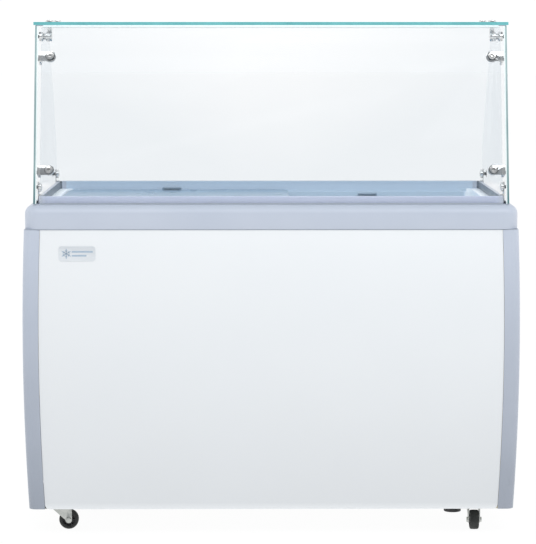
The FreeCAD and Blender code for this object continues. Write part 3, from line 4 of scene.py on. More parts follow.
import bmesh
import bpy
from mathutils import Matrix, Vector


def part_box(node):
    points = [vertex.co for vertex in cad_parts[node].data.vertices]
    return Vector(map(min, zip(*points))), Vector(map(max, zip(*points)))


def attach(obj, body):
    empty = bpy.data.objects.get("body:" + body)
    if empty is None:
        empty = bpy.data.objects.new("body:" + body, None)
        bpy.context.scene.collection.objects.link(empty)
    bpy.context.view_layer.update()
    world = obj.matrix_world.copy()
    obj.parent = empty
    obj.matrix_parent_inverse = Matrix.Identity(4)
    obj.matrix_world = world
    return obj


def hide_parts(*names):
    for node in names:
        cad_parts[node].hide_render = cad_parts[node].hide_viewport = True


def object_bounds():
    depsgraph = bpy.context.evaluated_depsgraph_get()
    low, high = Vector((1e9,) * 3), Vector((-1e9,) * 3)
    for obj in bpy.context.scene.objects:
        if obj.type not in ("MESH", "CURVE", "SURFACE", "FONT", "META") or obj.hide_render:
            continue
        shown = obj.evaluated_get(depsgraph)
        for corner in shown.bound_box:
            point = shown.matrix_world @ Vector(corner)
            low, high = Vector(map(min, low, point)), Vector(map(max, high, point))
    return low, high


# The looks of a glass guard dipping freezer: finishes for every part of the
# frame, plus the small pieces that are finer than the frame's own solids.
# Metres, +Z up, front towards -Y.

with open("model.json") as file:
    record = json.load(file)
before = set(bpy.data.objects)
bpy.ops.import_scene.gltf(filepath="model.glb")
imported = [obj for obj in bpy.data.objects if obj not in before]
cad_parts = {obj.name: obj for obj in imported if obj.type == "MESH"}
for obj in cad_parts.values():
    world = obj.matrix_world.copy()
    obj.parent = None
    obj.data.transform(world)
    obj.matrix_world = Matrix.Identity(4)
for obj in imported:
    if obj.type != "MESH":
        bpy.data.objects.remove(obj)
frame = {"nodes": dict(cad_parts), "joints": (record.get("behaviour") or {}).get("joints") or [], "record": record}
cad_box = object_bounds()
NODES = frame["nodes"]
RECORD = frame["record"]
SLOT_OF = {part["node"]: part["material_slot"] for part in RECORD["subparts"]}
BODY_OF = {node: body for body, members in RECORD["behaviour"]["bodies"].items() for node in members}

MM = 0.001
ROUND_STEPS = 48
SHARP_ANGLE = math.radians(34)


# ---------------------------------------------------------------- shaders

class Shader:
    """A material under construction, with short calls for its nodes."""

    def __init__(self, name):
        self.material = bpy.data.materials.new(name)
        self.material.use_nodes = True
        self.tree = self.material.node_tree
        self.tree.nodes.clear()
        self.output = self.node("OutputMaterial")
        self.coords = self.node("TexCoord")

    def node(self, kind, **settings):
        made = self.tree.nodes.new("ShaderNode" + kind)
        for name, value in settings.items():
            setattr(made, name, value)
        return made

    def feed(self, socket, value):
        """Gives a socket a number, a colour or another node's output."""
        if isinstance(value, bpy.types.NodeSocket):
            self.tree.links.new(value, socket)
        elif socket.type == "RGBA":
            socket.default_value = (*value, 1.0)
        else:
            socket.default_value = value

    def noise(self, size, detail=2.0, rough=0.5, stretch=(1, 1, 1)):
        """Soft noise from 0 to 1 whose features are about size metres wide."""
        mapping = self.node("Mapping")
        self.feed(mapping.inputs["Vector"], self.coords.outputs["Object"])
        self.feed(mapping.inputs["Scale"], stretch)
        made = self.node("TexNoise")
        self.feed(made.inputs["Vector"], mapping.outputs["Vector"])
        self.feed(made.inputs["Scale"], 1 / size)
        self.feed(made.inputs["Detail"], detail)
        self.feed(made.inputs["Roughness"], rough)
        return made.outputs["Fac"]

    def cells(self, size, feature="F1"):
        made = self.node("TexVoronoi", feature=feature)
        self.feed(made.inputs["Vector"], self.coords.outputs["Object"])
        self.feed(made.inputs["Scale"], 1 / size)
        return made.outputs["Distance"]

    def spread(self, value, low, high, out_low=0.0, out_high=1.0):
        """Maps low..high to out_low..out_high and clamps."""
        made = self.node("MapRange")
        for name, number in (("Value", value), ("From Min", low), ("From Max", high),
                             ("To Min", out_low), ("To Max", out_high)):
            self.feed(made.inputs[name], number)
        return made.outputs["Result"]

    def math(self, operation, first, second=0.0):
        made = self.node("Math", operation=operation)
        self.feed(made.inputs[0], first)
        self.feed(made.inputs[1], second)
        return made.outputs["Value"]

    def mix(self, amount, first, second):
        """Colour mix: first at 0, second at 1."""
        made = self.node("Mix", data_type="RGBA")
        self.feed(made.inputs["Factor"], amount)
        colours = [socket for socket in made.inputs if socket.type == "RGBA"]
        self.feed(colours[0], first)
        self.feed(colours[1], second)
        return [socket for socket in made.outputs if socket.type == "RGBA"][0]

    def along(self, axis):
        """Size of the object normal's part along an axis, 0 to 1."""
        made = self.node("VectorMath", operation="DOT_PRODUCT")
        self.feed(made.inputs[0], self.coords.outputs["Normal"])
        self.feed(made.inputs[1], axis)
        return self.math("ABSOLUTE", made.outputs["Value"])

    def place(self, axis):
        """One of the object's own coordinates in metres."""
        made = self.node("SeparateXYZ")
        self.feed(made.inputs["Vector"], self.coords.outputs["Object"])
        return made.outputs[axis]

    def crevice(self, reach):
        """1 in tight corners, 0 on open surfaces."""
        made = self.node("AmbientOcclusion", samples=4, only_local=True)
        self.feed(made.inputs["Distance"], reach)
        return self.spread(made.outputs["AO"], 0.35, 0.95, 1.0, 0.0)

    def rim(self, radius):
        """1 on outer edges, 0 on flat surfaces."""
        rounded = self.node("Bevel", samples=4)
        self.feed(rounded.inputs["Radius"], radius)
        geometry = self.node("NewGeometry")
        made = self.node("VectorMath", operation="DOT_PRODUCT")
        self.feed(made.inputs[0], rounded.outputs["Normal"])
        self.feed(made.inputs[1], geometry.outputs["Normal"])
        return self.spread(made.outputs["Value"], 0.80, 0.99, 1.0, 0.0)

    def bump(self, height, depth, under=None):
        made = self.node("Bump")
        self.feed(made.inputs["Height"], height)
        self.feed(made.inputs["Distance"], depth)
        if under is not None:
            self.feed(made.inputs["Normal"], under)
        return made.outputs["Normal"]

    def principled(self, **inputs):
        made = self.node("BsdfPrincipled")
        for name, value in inputs.items():
            self.feed(made.inputs[name.replace("_", " ")], value)
        return made.outputs["BSDF"]

    def finish(self, surface):
        self.tree.links.new(surface, self.output.inputs["Surface"])
        return self.material


def panel_paint():
    """White baked enamel on steel sheet, with a faint orange peel."""
    s = Shader("panel_paint")
    cloud = s.spread(s.noise(0.35, 3), 0.3, 0.7)
    white = s.mix(cloud, (0.872, 0.900, 0.922), (0.888, 0.914, 0.932))
    # painted shade: the enamel darkens towards the floor, at 0.62 of the way to grey near z 0.05 m and none above
    # 0.80 m; it is patchy with noise and cut to a quarter below 0.068 m. It stands in for less light low down.
    darkening = s.math("MULTIPLY", s.spread(s.place("Z"), 0.05, 0.80, 0.62, 0.0),
                  s.spread(s.noise(0.4, 3), 0.3, 0.7, 0.85, 1.0))
    darkening = s.math("MULTIPLY", darkening, s.spread(s.place("Z"), 0.068, 0.082, 0.25, 1.0))
    white = s.mix(darkening, white, (0.625, 0.650, 0.675))
    # soiling and painted shade: a patchy darkening towards grey wherever occlusion finds a corner within 12 mm
    dust_and_shade = s.math("MULTIPLY", s.crevice(0.012), s.spread(s.noise(0.03, 4), 0.3, 0.7, 0.25, 0.7))
    dusted_and_shaded = s.mix(dust_and_shade, white, (0.47, 0.48, 0.49))
    chipped = s.math("MULTIPLY", s.rim(0.0006), s.spread(s.noise(0.012, 5, 0.6), 0.58, 0.75, 0.0, 0.7))
    colour = s.mix(chipped, dusted_and_shaded, (0.66, 0.69, 0.72))
    smear = s.noise(0.12, 5, 0.6, (1, 1, 0.35))
    peel = s.bump(s.noise(0.0022, 1), 0.000022)
    return s.finish(s.principled(
        Base_Color=colour, Roughness=s.spread(smear, 0.3, 0.75, 0.30, 0.36), Normal=peel,
        Coat_Weight=0.30, Coat_Roughness=0.18, IOR=1.5))


# tint of the painted glow that some mouldings give off, though they are no lamp
PAINTED_GLOW_TONE = (0.60, 0.84, 1.0)
RAIL_FROM, RAIL_TO = 0.5400, 0.5790
END_SHADE_FROM, END_SHADE_TO = 0.5700, 0.5772
COLLAR_REAR_FROM, COLLAR_REAR_TO = 0.2740, 0.2770
RIM_REAR_FACE = 0.2895
RIM_FRONT_FROM, RIM_FRONT_TO = -0.2995, -0.2890
RIM_FOOT = 0.8362
COLLAR_TOP = 0.8340
SEAM_FOAM_FROM, SEAM_FOAM_TO = 0.7735, 0.7740


def moulded(name, light, dark, rough_low, rough_high, grain, depth, worn,
            low_shade=0.0, grime_and_shade=1.0, tint=None, glow=0.0):
    """Moulded plastic: fine grain, slow colour drift, soiling with painted shade in corners, and rubbed edges.

    low_shade is how strongly painted shade darkens the lower part, grime_and_shade
    how much soiling and painted shade lies in the corners, tint may colour the base
    further, and glow is the strength of a painted glow that the moulding gives off.
    """
    s = Shader(name)
    drift = s.spread(s.noise(0.22, 4), 0.3, 0.7)
    base = s.mix(drift, dark, light)
    if tint:
        base = tint(s, base)
    speck = s.spread(s.noise(0.0016, 2), 0.62, 0.75, 0.0, 0.10)
    base = s.mix(speck, base, tuple(0.7 * part for part in dark))
    # soiling and painted shade: a patchy darkening towards the dark tone wherever occlusion finds a corner within
    # 10 mm, scaled by grime_and_shade
    dust_and_shade = s.math("MULTIPLY", s.crevice(0.010),
                  s.spread(s.noise(0.02, 4), 0.3, 0.7, 0.2 * grime_and_shade, 0.6 * grime_and_shade))
    base = s.mix(dust_and_shade, base, tuple(0.55 * part for part in dark))
    # painted shade: darker towards the floor, at full low_shade strength at z 0 and none above 0.72 m, patchy with
    # noise
    if low_shade:
        low_shade_amount = s.math("MULTIPLY", s.spread(s.place("Z"), 0.0, 0.72, low_shade, 0.0),
                        s.spread(s.noise(0.3, 4), 0.3, 0.7, 0.75, 1.0))
        base = s.mix(low_shade_amount, base, tuple(0.45 * part for part in dark))
    rubbed = s.math("MULTIPLY", s.rim(0.0008), s.spread(s.noise(0.015, 4), 0.4, 0.65, 0.1, 0.8))
    colour = s.mix(rubbed, base, worn)
    smear = s.noise(0.09, 4, 0.6)
    fine = s.bump(s.noise(grain, 2, 0.6), depth)
    flow = s.bump(s.noise(0.05, 1), 0.00012, fine)
    # the emission is a painted glow, not a lamp
    return s.finish(s.principled(
        Base_Color=colour, Roughness=s.spread(smear, 0.3, 0.7, rough_low, rough_high),
        Normal=flow, IOR=1.49, Emission_Color=PAINTED_GLOW_TONE, Emission_Strength=glow))


def frame_plastic():
    return moulded("frame_plastic", (0.560, 0.610, 0.705), (0.520, 0.575, 0.675),
                   0.30, 0.42, 0.0009, 0.000018, (0.66, 0.70, 0.78),
                   low_shade=0.82, grime_and_shade=0.35, tint=rim_tones)


def end_strip(s, inner, outer):
    """1 between two distances from the middle, clear of the front and rear."""
    reach = s.math("ABSOLUTE", s.place("X"))
    inside = s.math("LESS_THAN", s.math("ABSOLUTE", s.place("Y")), 0.283)
    band = s.math("MULTIPLY", s.spread(reach, inner, inner + 0.5 * MM),
                  s.spread(reach, outer, outer + 0.5 * MM, 1.0, 0.0))
    return s.math("MULTIPLY", inside, band)


def rail_highlight_rear_shade(s, base):
    """Painted highlight along the rails at the ends of the collar, where light catches their tops, and painted
    shade that makes the rear wall a deeper blue.
    """
    # painted shade: a deeper blue on the collar's rear wall
    rear = s.spread(s.place("Y"), COLLAR_REAR_FROM, COLLAR_REAR_TO)
    base = s.mix(rear, base, (0.40, 0.51, 0.63))
    # painted highlight: pale strips along the end rails
    return s.mix(end_strip(s, RAIL_FROM, RAIL_TO), base, (0.86, 0.89, 0.93))


def rim_tones(s, base):
    """Painted shade on upper faces, painted light that makes the front and rear faces of the rim brighter and
    bluer, and painted shade in a dark band on its end walls.
    """
    # painted shade: faces turned upwards are darkened, patchy with noise
    lying = s.math("MULTIPLY", s.spread(s.along((0, 0, 1)), 0.45, 0.95, 0.0, 0.85),
                   s.spread(s.noise(0.12, 4), 0.3, 0.7, 0.85, 1.0))
    base = s.mix(lying, base, (0.435, 0.485, 0.575))
    # painted light: the rear rim's inner face is made brighter and bluer
    behind = s.math("MULTIPLY", s.spread(s.place("Y"), RIM_REAR_FACE - 0.5 * MM, RIM_REAR_FACE - 0.2 * MM),
                    s.spread(s.place("Y"), RIM_REAR_FACE + 0.5 * MM, RIM_REAR_FACE + 0.8 * MM, 1.0, 0.0))
    base = s.mix(behind, base, (0.625, 0.755, 0.89))
    # painted light: the front rim's face above its foot is made brighter and bluer
    ahead = s.math("MULTIPLY", s.spread(s.place("Z"), RIM_FOOT, RIM_FOOT + 0.4 * MM),
                   s.spread(s.place("Y"), RIM_FRONT_FROM, RIM_FRONT_TO, 1.0, 0.0))
    base = s.mix(ahead, base, (0.600, 0.665, 0.850))
    # painted shade: a dark slate band on the end walls above the collar top, where they lie in shadow
    above = s.spread(s.place("Z"), COLLAR_TOP, COLLAR_TOP + 0.5 * MM)
    end_wall_shade = s.math("MULTIPLY", above, end_strip(s, END_SHADE_FROM, END_SHADE_TO))
    return s.mix(end_wall_shade, base, (0.085, 0.120, 0.160))


def collar_plastic_painted_light():
    """Inner moulding that the lids run in, given a paler, bluer base than the frame plastic and a painted glow:
    painted light on a part that lies in shade.
    """
    return moulded("collar_plastic_painted_light", (0.78, 0.85, 0.95), (0.74, 0.815, 0.93),
                   0.30, 0.42, 0.0009, 0.000018, (0.80, 0.86, 0.94), grime_and_shade=0.25,
                   tint=rail_highlight_rear_shade, glow=0.14)


def pull_plastic():
    """Slightly darker blue-grey of the lid pulls."""
    return moulded("pull_plastic", (0.215, 0.325, 0.440), (0.190, 0.295, 0.405),
                   0.34, 0.46, 0.0010, 0.00002, (0.34, 0.45, 0.56))


def lid_plastic():
    """Blue-grey lid skin with fine scratches from sliding to and fro."""
    s = Shader("lid_plastic")
    drift = s.spread(s.noise(0.18, 4), 0.3, 0.7)
    base = s.mix(drift, (0.204, 0.342, 0.482), (0.224, 0.364, 0.503))
    lines = s.noise(0.0016, 3, 0.7, (0.02, 1, 1))
    scratch = s.math("MULTIPLY", s.spread(lines, 0.62, 0.72), s.spread(s.noise(0.08, 3), 0.45, 0.65))
    scratched = s.mix(s.math("MULTIPLY", scratch, 0.20), base, (0.60, 0.70, 0.79))
    # painted shade: darker wherever occlusion finds a corner within 10 mm
    dust_and_shade = s.math("MULTIPLY", s.crevice(0.010), 0.45)
    colour = s.mix(dust_and_shade, scratched, (0.20, 0.27, 0.35))
    rough = s.math("ADD", s.spread(s.noise(0.10, 4), 0.3, 0.7, 0.26, 0.38),
                   s.math("MULTIPLY", scratch, 0.06))
    stipple = s.bump(s.noise(0.0014, 2), 0.000035)
    return s.finish(s.principled(
        Base_Color=colour, Roughness=rough, Normal=stipple, IOR=1.49, Specular_IOR_Level=0.22))


def tank_metal():
    """Stucco embossed aluminium sheet."""
    s = Shader("tank_metal")
    grey = s.mix(s.spread(s.noise(0.12, 4), 0.3, 0.7), (0.74, 0.76, 0.78), (0.84, 0.85, 0.86))
    # painted shade: the sheet darkens wherever occlusion finds a corner within 30 mm
    corner_shaded = s.mix(s.math("MULTIPLY", s.crevice(0.03), 0.6), grey, (0.55, 0.58, 0.61))
    stucco = s.bump(s.spread(s.cells(0.006, "SMOOTH_F1"), 0.05, 0.5), 0.0006)
    return s.finish(s.principled(
        Base_Color=corner_shaded, Metallic=1.0,
        Roughness=s.spread(s.noise(0.03, 4), 0.3, 0.7, 0.24, 0.42), Normal=stucco))


def foam():
    """Poured polyurethane foam, painted grey where it meets the seam."""
    s = Shader("foam")
    colour = s.mix(s.spread(s.noise(0.05, 5), 0.3, 0.7), (0.62, 0.53, 0.33), (0.74, 0.66, 0.45))
    colour = s.mix(s.spread(s.place("Z"), SEAM_FOAM_FROM, SEAM_FOAM_TO), colour, (0.40, 0.445, 0.515))
    pores = s.bump(s.cells(0.0025), 0.0005)
    return s.finish(s.principled(
        Base_Color=colour, Roughness=s.spread(s.noise(0.01, 3), 0.3, 0.7, 0.8, 0.95), Normal=pores))


def metal(name, bright, dull, rough_low, rough_high, blotch, grain, depth, grime_and_shade, grime_and_shade_share):
    """Plated or bare metal: blotchy tone, fine grain, and corners darkened towards the grime_and_shade colour,
    part soiling and part painted shade.
    """
    s = Shader(name)
    tone = s.mix(s.spread(s.noise(blotch, 4, 0.6), 0.3, 0.7), dull, bright)
    # soiling and painted shade: the grime_and_shade colour laid wherever occlusion finds a corner within 5 mm
    dirt_and_shade = s.math("MULTIPLY", s.crevice(0.005), grime_and_shade_share)
    colour = s.mix(dirt_and_shade, tone, grime_and_shade)
    rough = s.spread(s.noise(blotch * 0.5, 5, 0.65), 0.3, 0.7, rough_low, rough_high)
    fine = s.bump(s.noise(grain, 2, 0.6), depth)
    return s.finish(s.principled(Base_Color=colour, Metallic=1.0, Roughness=rough, Normal=fine))


def zinc():
    return metal("zinc", (0.66, 0.67, 0.64), (0.47, 0.49, 0.47), 0.30, 0.48,
                 0.012, 0.0007, 0.00002, (0.12, 0.12, 0.11), 0.7)


def chrome():
    return metal("chrome", (0.82, 0.82, 0.81), (0.72, 0.72, 0.71), 0.05, 0.13,
                 0.02, 0.0012, 0.000006, (0.06, 0.06, 0.055), 0.85)


def copper():
    return metal("copper", (0.82, 0.46, 0.31), (0.52, 0.27, 0.17), 0.24, 0.45,
                 0.02, 0.0008, 0.00002, (0.10, 0.16, 0.12), 0.5)


def clear_glass(name, across, light, dark, foot_shade, pale_from=0.0, veil=1.0):
    """Float glass pane; across is the direction through its thickness.

    The broad faces mirror a little and dim what is behind, most near the
    foot and the ends. The ground arris is pale, and the polished edges show
    the glass's own green, but only from outside. The edge is also pale
    where it stands nearer the middle than pale_from, and veil is how much
    of the mirror and the dimming a pane shows.
    """
    s = Shader(name)
    square = s.along(across)
    on_face = s.spread(square, 0.80, 0.93)
    on_arris = s.spread(square, 0.30, 0.50)
    smudge = s.spread(s.noise(0.16, 5, 0.6), 0.35, 0.7)
    geometry = s.node("NewGeometry")
    fresnel = s.node("Fresnel")
    s.feed(fresnel.inputs["IOR"], s.spread(geometry.outputs["Backfacing"], 0, 1, 1.45, 1 / 1.45))
    cover = s.math("ADD", s.math("MINIMUM", fresnel.outputs["Fac"], 0.4 * veil),
                   s.spread(smudge, 0.0, 1.0, 0.004, 0.014))
    through = s.node("BsdfTransparent")
    sideways = s.spread(s.math("ABSOLUTE", s.place("X")), 0.08, 0.50, 0.0, 0.62)
    darkening = s.math("ADD", s.spread(s.place("Z"), 0.92, 1.24, 0.95, 0.0), sideways)
    darkening = s.math("MULTIPLY", s.math("MINIMUM", darkening, veil),
                  s.spread(s.place("Z"), 0.884, 0.894))
    s.feed(through.inputs["Color"], s.mix(darkening, (0.984, 0.987, 0.990), (0.920, 0.936, 0.948)))
    skin = s.principled(Base_Color=(0.92, 0.945, 0.955),
                        Roughness=s.spread(smudge, 0.0, 1.0, 0.015, 0.06),
                        Specular_IOR_Level=1.0, IOR=1.6)
    face = s.node("MixShader")
    s.feed(face.inputs["Fac"], cover)
    s.feed(face.inputs[1], through.outputs["BSDF"])
    s.feed(face.inputs[2], skin)
    streak = s.spread(s.noise(0.06, 3), 0.3, 0.7)
    # painted shade: the edge green darkens towards the foot of the pane, into the foot_shade tone, from z 0.93 m
    # down to 0.84 m
    low = s.spread(s.place("Z"), 0.84, 0.93, 1.0, 0.0)
    green = s.mix(low, s.mix(streak, dark, light), foot_shade)
    pale = s.mix(streak, (0.80, 0.92, 0.92), (0.88, 0.97, 0.97))
    tone = s.mix(on_arris, green, pale)
    if pale_from:
        reach = s.math("ABSOLUTE", s.place("X"))
        tone = s.mix(s.spread(reach, pale_from, pale_from + 0.4 * MM, 1.0, 0.0), tone, pale)
    edge = s.principled(Base_Color=tone, Roughness=s.spread(streak, 0.0, 1.0, 0.10, 0.22), IOR=1.5)
    clear = s.math("MAXIMUM", on_face, geometry.outputs["Backfacing"])
    both = s.node("MixShader")
    s.feed(both.inputs["Fac"], clear)
    s.feed(both.inputs[1], edge)
    s.feed(both.inputs[2], face.outputs["Shader"])
    return s.finish(both.outputs["Shader"])


def rubber(name, tone, dusty, grain):
    s = Shader(name)
    dust_and_shade = s.math("MULTIPLY", s.spread(s.noise(0.012, 5, 0.65), 0.35, 0.75), 0.42)
    worn = s.mix(dust_and_shade, tone, dusty)
    colour = s.mix(s.math("MULTIPLY", s.rim(0.0008), 0.5), worn, dusty)
    rough = s.spread(s.noise(0.008, 4), 0.3, 0.7, 0.55, 0.82)
    return s.finish(s.principled(
        Base_Color=colour, Roughness=rough, Normal=s.bump(s.noise(grain, 3), 0.00006)))


def black_rubber():
    return rubber("black_rubber", (0.016, 0.018, 0.017), (0.062, 0.066, 0.062), 0.0011)


def grey_rubber():
    return rubber("grey_rubber", (0.44, 0.49, 0.56), (0.55, 0.59, 0.64), 0.0013)


def black_plastic():
    return moulded("black_plastic", (0.028, 0.029, 0.031), (0.019, 0.020, 0.022),
                   0.36, 0.55, 0.0008, 0.00003, (0.085, 0.088, 0.092))


def black_metal():
    """Black lacquered steel with dust lying on its upper faces."""
    s = Shader("black_metal")
    facing_up = s.math("MULTIPLY", s.along((0, 0, 1)), s.spread(s.noise(0.02, 5), 0.35, 0.7))
    colour = s.mix(s.math("MULTIPLY", facing_up, 0.5), (0.020, 0.021, 0.022), (0.17, 0.165, 0.155))
    return s.finish(s.principled(
        Base_Color=colour, Roughness=s.spread(s.noise(0.02, 4), 0.3, 0.7, 0.34, 0.55),
        Normal=s.bump(s.noise(0.0018, 2), 0.00004), Coat_Weight=0.3, Coat_Roughness=0.2))


def badge_finish():
    """Pale brushed plate."""
    s = Shader("badge")
    brushed = s.noise(0.0007, 3, 0.7, (0.03, 1, 1))
    colour = s.mix(s.spread(brushed, 0.3, 0.7), (0.70, 0.74, 0.78), (0.82, 0.85, 0.88))
    return s.finish(s.principled(
        Base_Color=colour, Metallic=0.35, Roughness=s.spread(brushed, 0.3, 0.7, 0.28, 0.45),
        Normal=s.bump(brushed, 0.00001)))


def badge_mark():
    """Satin blue-grey enamel of the badge's raised sign."""
    s = Shader("badge_mark")
    colour = s.mix(s.spread(s.noise(0.006, 3), 0.3, 0.7), (0.34, 0.45, 0.57), (0.42, 0.53, 0.64))
    return s.finish(s.principled(
        Base_Color=colour, Roughness=s.spread(s.noise(0.004, 3), 0.3, 0.7, 0.25, 0.4),
        Normal=s.bump(s.noise(0.0006, 2), 0.00001)))


def display_window():
    """Dark acrylic window of the temperature display."""
    s = Shader("display")
    colour = s.mix(s.spread(s.noise(0.008, 3), 0.3, 0.7), (0.010, 0.011, 0.013), (0.02, 0.021, 0.024))
    return s.finish(s.principled(
        Base_Color=colour, Roughness=s.spread(s.noise(0.01, 4), 0.3, 0.7, 0.05, 0.14),
        Normal=s.bump(s.noise(0.003, 1), 0.00001), Coat_Weight=0.6, Coat_Roughness=0.05))


def lit_digit():
    """Red glow of the display's segments."""
    s = Shader("lit_digit")
    glow = s.mix(s.spread(s.noise(0.0015, 2), 0.3, 0.7), (0.75, 0.04, 0.02), (0.95, 0.08, 0.04))
    return s.finish(s.principled(
        Base_Color=(0.3, 0.01, 0.01), Roughness=0.4, Emission_Color=glow, Emission_Strength=1.6))


def pane_across(node):
    """Direction through a pane's thickness: its largest face's normal."""
    mesh = NODES[node].data
    widest = max(mesh.polygons, key=lambda face: face.area)
    return tuple(widest.normal)


FINISH = {
    "panel_paint": panel_paint(),
    "frame_plastic": frame_plastic(),
    "lid_plastic": lid_plastic(),
    "pull_plastic": pull_plastic(),
    "tank_metal": tank_metal(),
    "foam": foam(),
    "zinc": zinc(),
    "chrome": chrome(),
    "black_rubber": black_rubber(),
    "grey_rubber": grey_rubber(),
    "black_plastic": black_plastic(),
    "copper": copper(),
    "black_metal": black_metal(),
    "badge": badge_finish(),
    "display": display_window(),
}
COLLAR = collar_plastic_painted_light()
PANES = [node for node, slot in SLOT_OF.items() if slot == "clear_glass"]
# edge tones for each pane: light green, dark green, and the painted shade tone at the foot
GREY_GREEN = ((0.30, 0.42, 0.43), (0.235, 0.355, 0.37), (0.09, 0.205, 0.225))
BRIGHT_TEAL = ((0.165, 0.535, 0.555), (0.125, 0.445, 0.465), (0.125, 0.445, 0.465))
EDGE_TONES = {node: GREY_GREEN for node in PANES}
EDGE_TONES["guard_top_glass"] = BRIGHT_TEAL
for side in ("left", "right"):
    side_pane = "guard_side_glass_" + side
    inner_face = min(abs(corner.x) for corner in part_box(side_pane))
    EDGE_TONES[side_pane] = (*GREY_GREEN, inner_face + 2.9 * MM, 0.2)


def dress_nodes():
    for node, obj in NODES.items():
        slot = SLOT_OF[node]
        if node in PANES:
            finish = clear_glass("glass_" + node, pane_across(node), *EDGE_TONES[node])
        elif node == "lid_collar":
            finish = COLLAR
        else:
            finish = FINISH[slot]
        obj.data.materials.clear()
        obj.data.materials.append(finish)


# ------------------------------------------------------- edges of the frame

def angle_shading():
    """Node group that smooths faces and keeps edges over the limit sharp."""
    group = bpy.data.node_groups.new("angle_shading", "GeometryNodeTree")
    group.interface.new_socket("Geometry", in_out="INPUT", socket_type="NodeSocketGeometry")
    group.interface.new_socket("Geometry", in_out="OUTPUT", socket_type="NodeSocketGeometry")
    start = group.nodes.new("NodeGroupInput")
    stop = group.nodes.new("NodeGroupOutput")
    faces = group.nodes.new("GeometryNodeSetShadeSmooth")
    edges = group.nodes.new("GeometryNodeSetShadeSmooth")
    edges.domain = "EDGE"
    edges.inputs["Shade Smooth"].default_value = False
    angle = group.nodes.new("GeometryNodeInputMeshEdgeAngle")
    over = group.nodes.new("FunctionNodeCompare")
    over.operation = "GREATER_THAN"
    over.inputs["B"].default_value = SHARP_ANGLE
    group.links.new(start.outputs["Geometry"], faces.inputs["Geometry"])
    group.links.new(faces.outputs["Geometry"], edges.inputs["Geometry"])
    group.links.new(angle.outputs["Unsigned Angle"], over.inputs["A"])
    group.links.new(over.outputs["Result"], edges.inputs["Selection"])
    group.links.new(edges.outputs["Geometry"], stop.inputs["Geometry"])
    return group


ANGLE_SHADING = angle_shading()
EDGE_WIDTH = {
    "clear_glass": 1.3, "frame_plastic": 0.7, "lid_plastic": 0.6, "panel_paint": 0.35,
    "chrome": 0.8, "zinc": 0.5, "black_plastic": 0.6, "grey_rubber": 0.4,
    "black_metal": 0.6, "badge": 0.4, "display": 0.5, "tank_metal": 0.4,
}


def soften(obj, width, segments=2):
    """Rounds a node's hard edges by width metres, without touching its mesh."""
    kept_normals = obj.data.attributes.get("custom_normal")
    if kept_normals is not None:
        obj.data.attributes.remove(kept_normals)
    weld = obj.modifiers.new("weld", "WELD")
    weld.merge_threshold = 0.002 * MM
    flat = obj.modifiers.new("flat", "DECIMATE")
    flat.decimate_type = "DISSOLVE"
    flat.angle_limit = math.radians(0.2)
    if width:
        edge = obj.modifiers.new("edge", "BEVEL")
        edge.width = width
        edge.segments = segments
        edge.limit_method = "ANGLE"
        edge.angle_limit = math.radians(50)
        edge.use_clamp_overlap = True
    shade = obj.modifiers.new("shade", "NODES")
    shade.node_group = ANGLE_SHADING


def soften_nodes():
    for node, obj in NODES.items():
        width = 0.4 if node == "guard_front_glass" else EDGE_WIDTH.get(SLOT_OF[node], 0)
        soften(obj, width * MM)


# ------------------------------------------------------------ mesh helpers

def islands(node):
    """The separate solids of a node, each as a list of its points."""
    mesh = bmesh.new()
    mesh.from_mesh(NODES[node].data)
    bmesh.ops.remove_doubles(mesh, verts=mesh.verts, dist=0.005 * MM)
    left = set(mesh.verts)
    found = []
    while left:
        seed = left.pop()
        points = [seed.co.copy()]
        edge_of = [seed]
        while edge_of:
            here = edge_of.pop()
            for edge in here.link_edges:
                other = edge.other_vert(here)
                if other in left:
                    left.discard(other)
                    points.append(other.co.copy())
                    edge_of.append(other)
        found.append(points)
    mesh.free()
    return sorted(found, key=lambda points: tuple(round(c, 4) for c in centre_of(points)))


def corners_of(points):
    low = Vector([min(p[i] for p in points) for i in range(3)])
    high = Vector([max(p[i] for p in points) for i in range(3)])
    return low, high


def centre_of(points):
    low, high = corners_of(points)
    return (low + high) / 2


def facing(origin, axis):
    """Frame at origin whose +Z points along axis."""
    turn = Vector(axis).to_track_quat("Z", "Y").to_matrix().to_4x4()
    return Matrix.Translation(origin) @ turn


def lathe(mesh, profile, where, steps=ROUND_STEPS, shape=None):
    """Turns a profile of (radius, height) points round +Z of a frame.

    shape may give each point's radius at an angle, for sockets and nuts.
    A radius of 0 closes the form with one point.
    """
    rings = []
    for index, (radius, height) in enumerate(profile):
        if radius == 0:
            rings.append([mesh.verts.new(where @ Vector((0, 0, height)))])
            continue
        ring = []
        for step in range(steps):
            angle = 2 * math.pi * step / steps
            reach = shape(index, radius, angle) if shape else radius
            spot = Vector((reach * math.cos(angle), reach * math.sin(angle), height))
            ring.append(mesh.verts.new(where @ spot))
        rings.append(ring)
    for lower, upper in zip(rings, rings[1:]):
        for step in range(steps):
            after = (step + 1) % steps
            if len(lower) == 1 and len(upper) == 1:
                continue
            if len(lower) == 1:
                mesh.faces.new((lower[0], upper[step], upper[after]))
            elif len(upper) == 1:
                mesh.faces.new((lower[step], lower[after], upper[0]))
            else:
                mesh.faces.new((lower[step], lower[after], upper[after], upper[step]))


def slab(mesh, outline, where, low, high, bevel=0.0):
    """Prism of a closed outline of (x, y) points in a frame, from low to high."""
    levels = [(low, 0.0), (high, 0.0)]
    if bevel:
        levels = [(low, bevel), (low + bevel, 0.0), (high - bevel, 0.0), (high, bevel)]
    rings = []
    for height, inset in levels:
        points = shrink(outline, inset) if inset else outline
        rings.append([mesh.verts.new(where @ Vector((x, y, height))) for x, y in points])
    count = len(outline)
    for lower, upper in zip(rings, rings[1:]):
        for index in range(count):
            after = (index + 1) % count
            mesh.faces.new((lower[index], lower[after], upper[after], upper[index]))
    mesh.faces.new(list(reversed(rings[0])))
    mesh.faces.new(rings[-1])


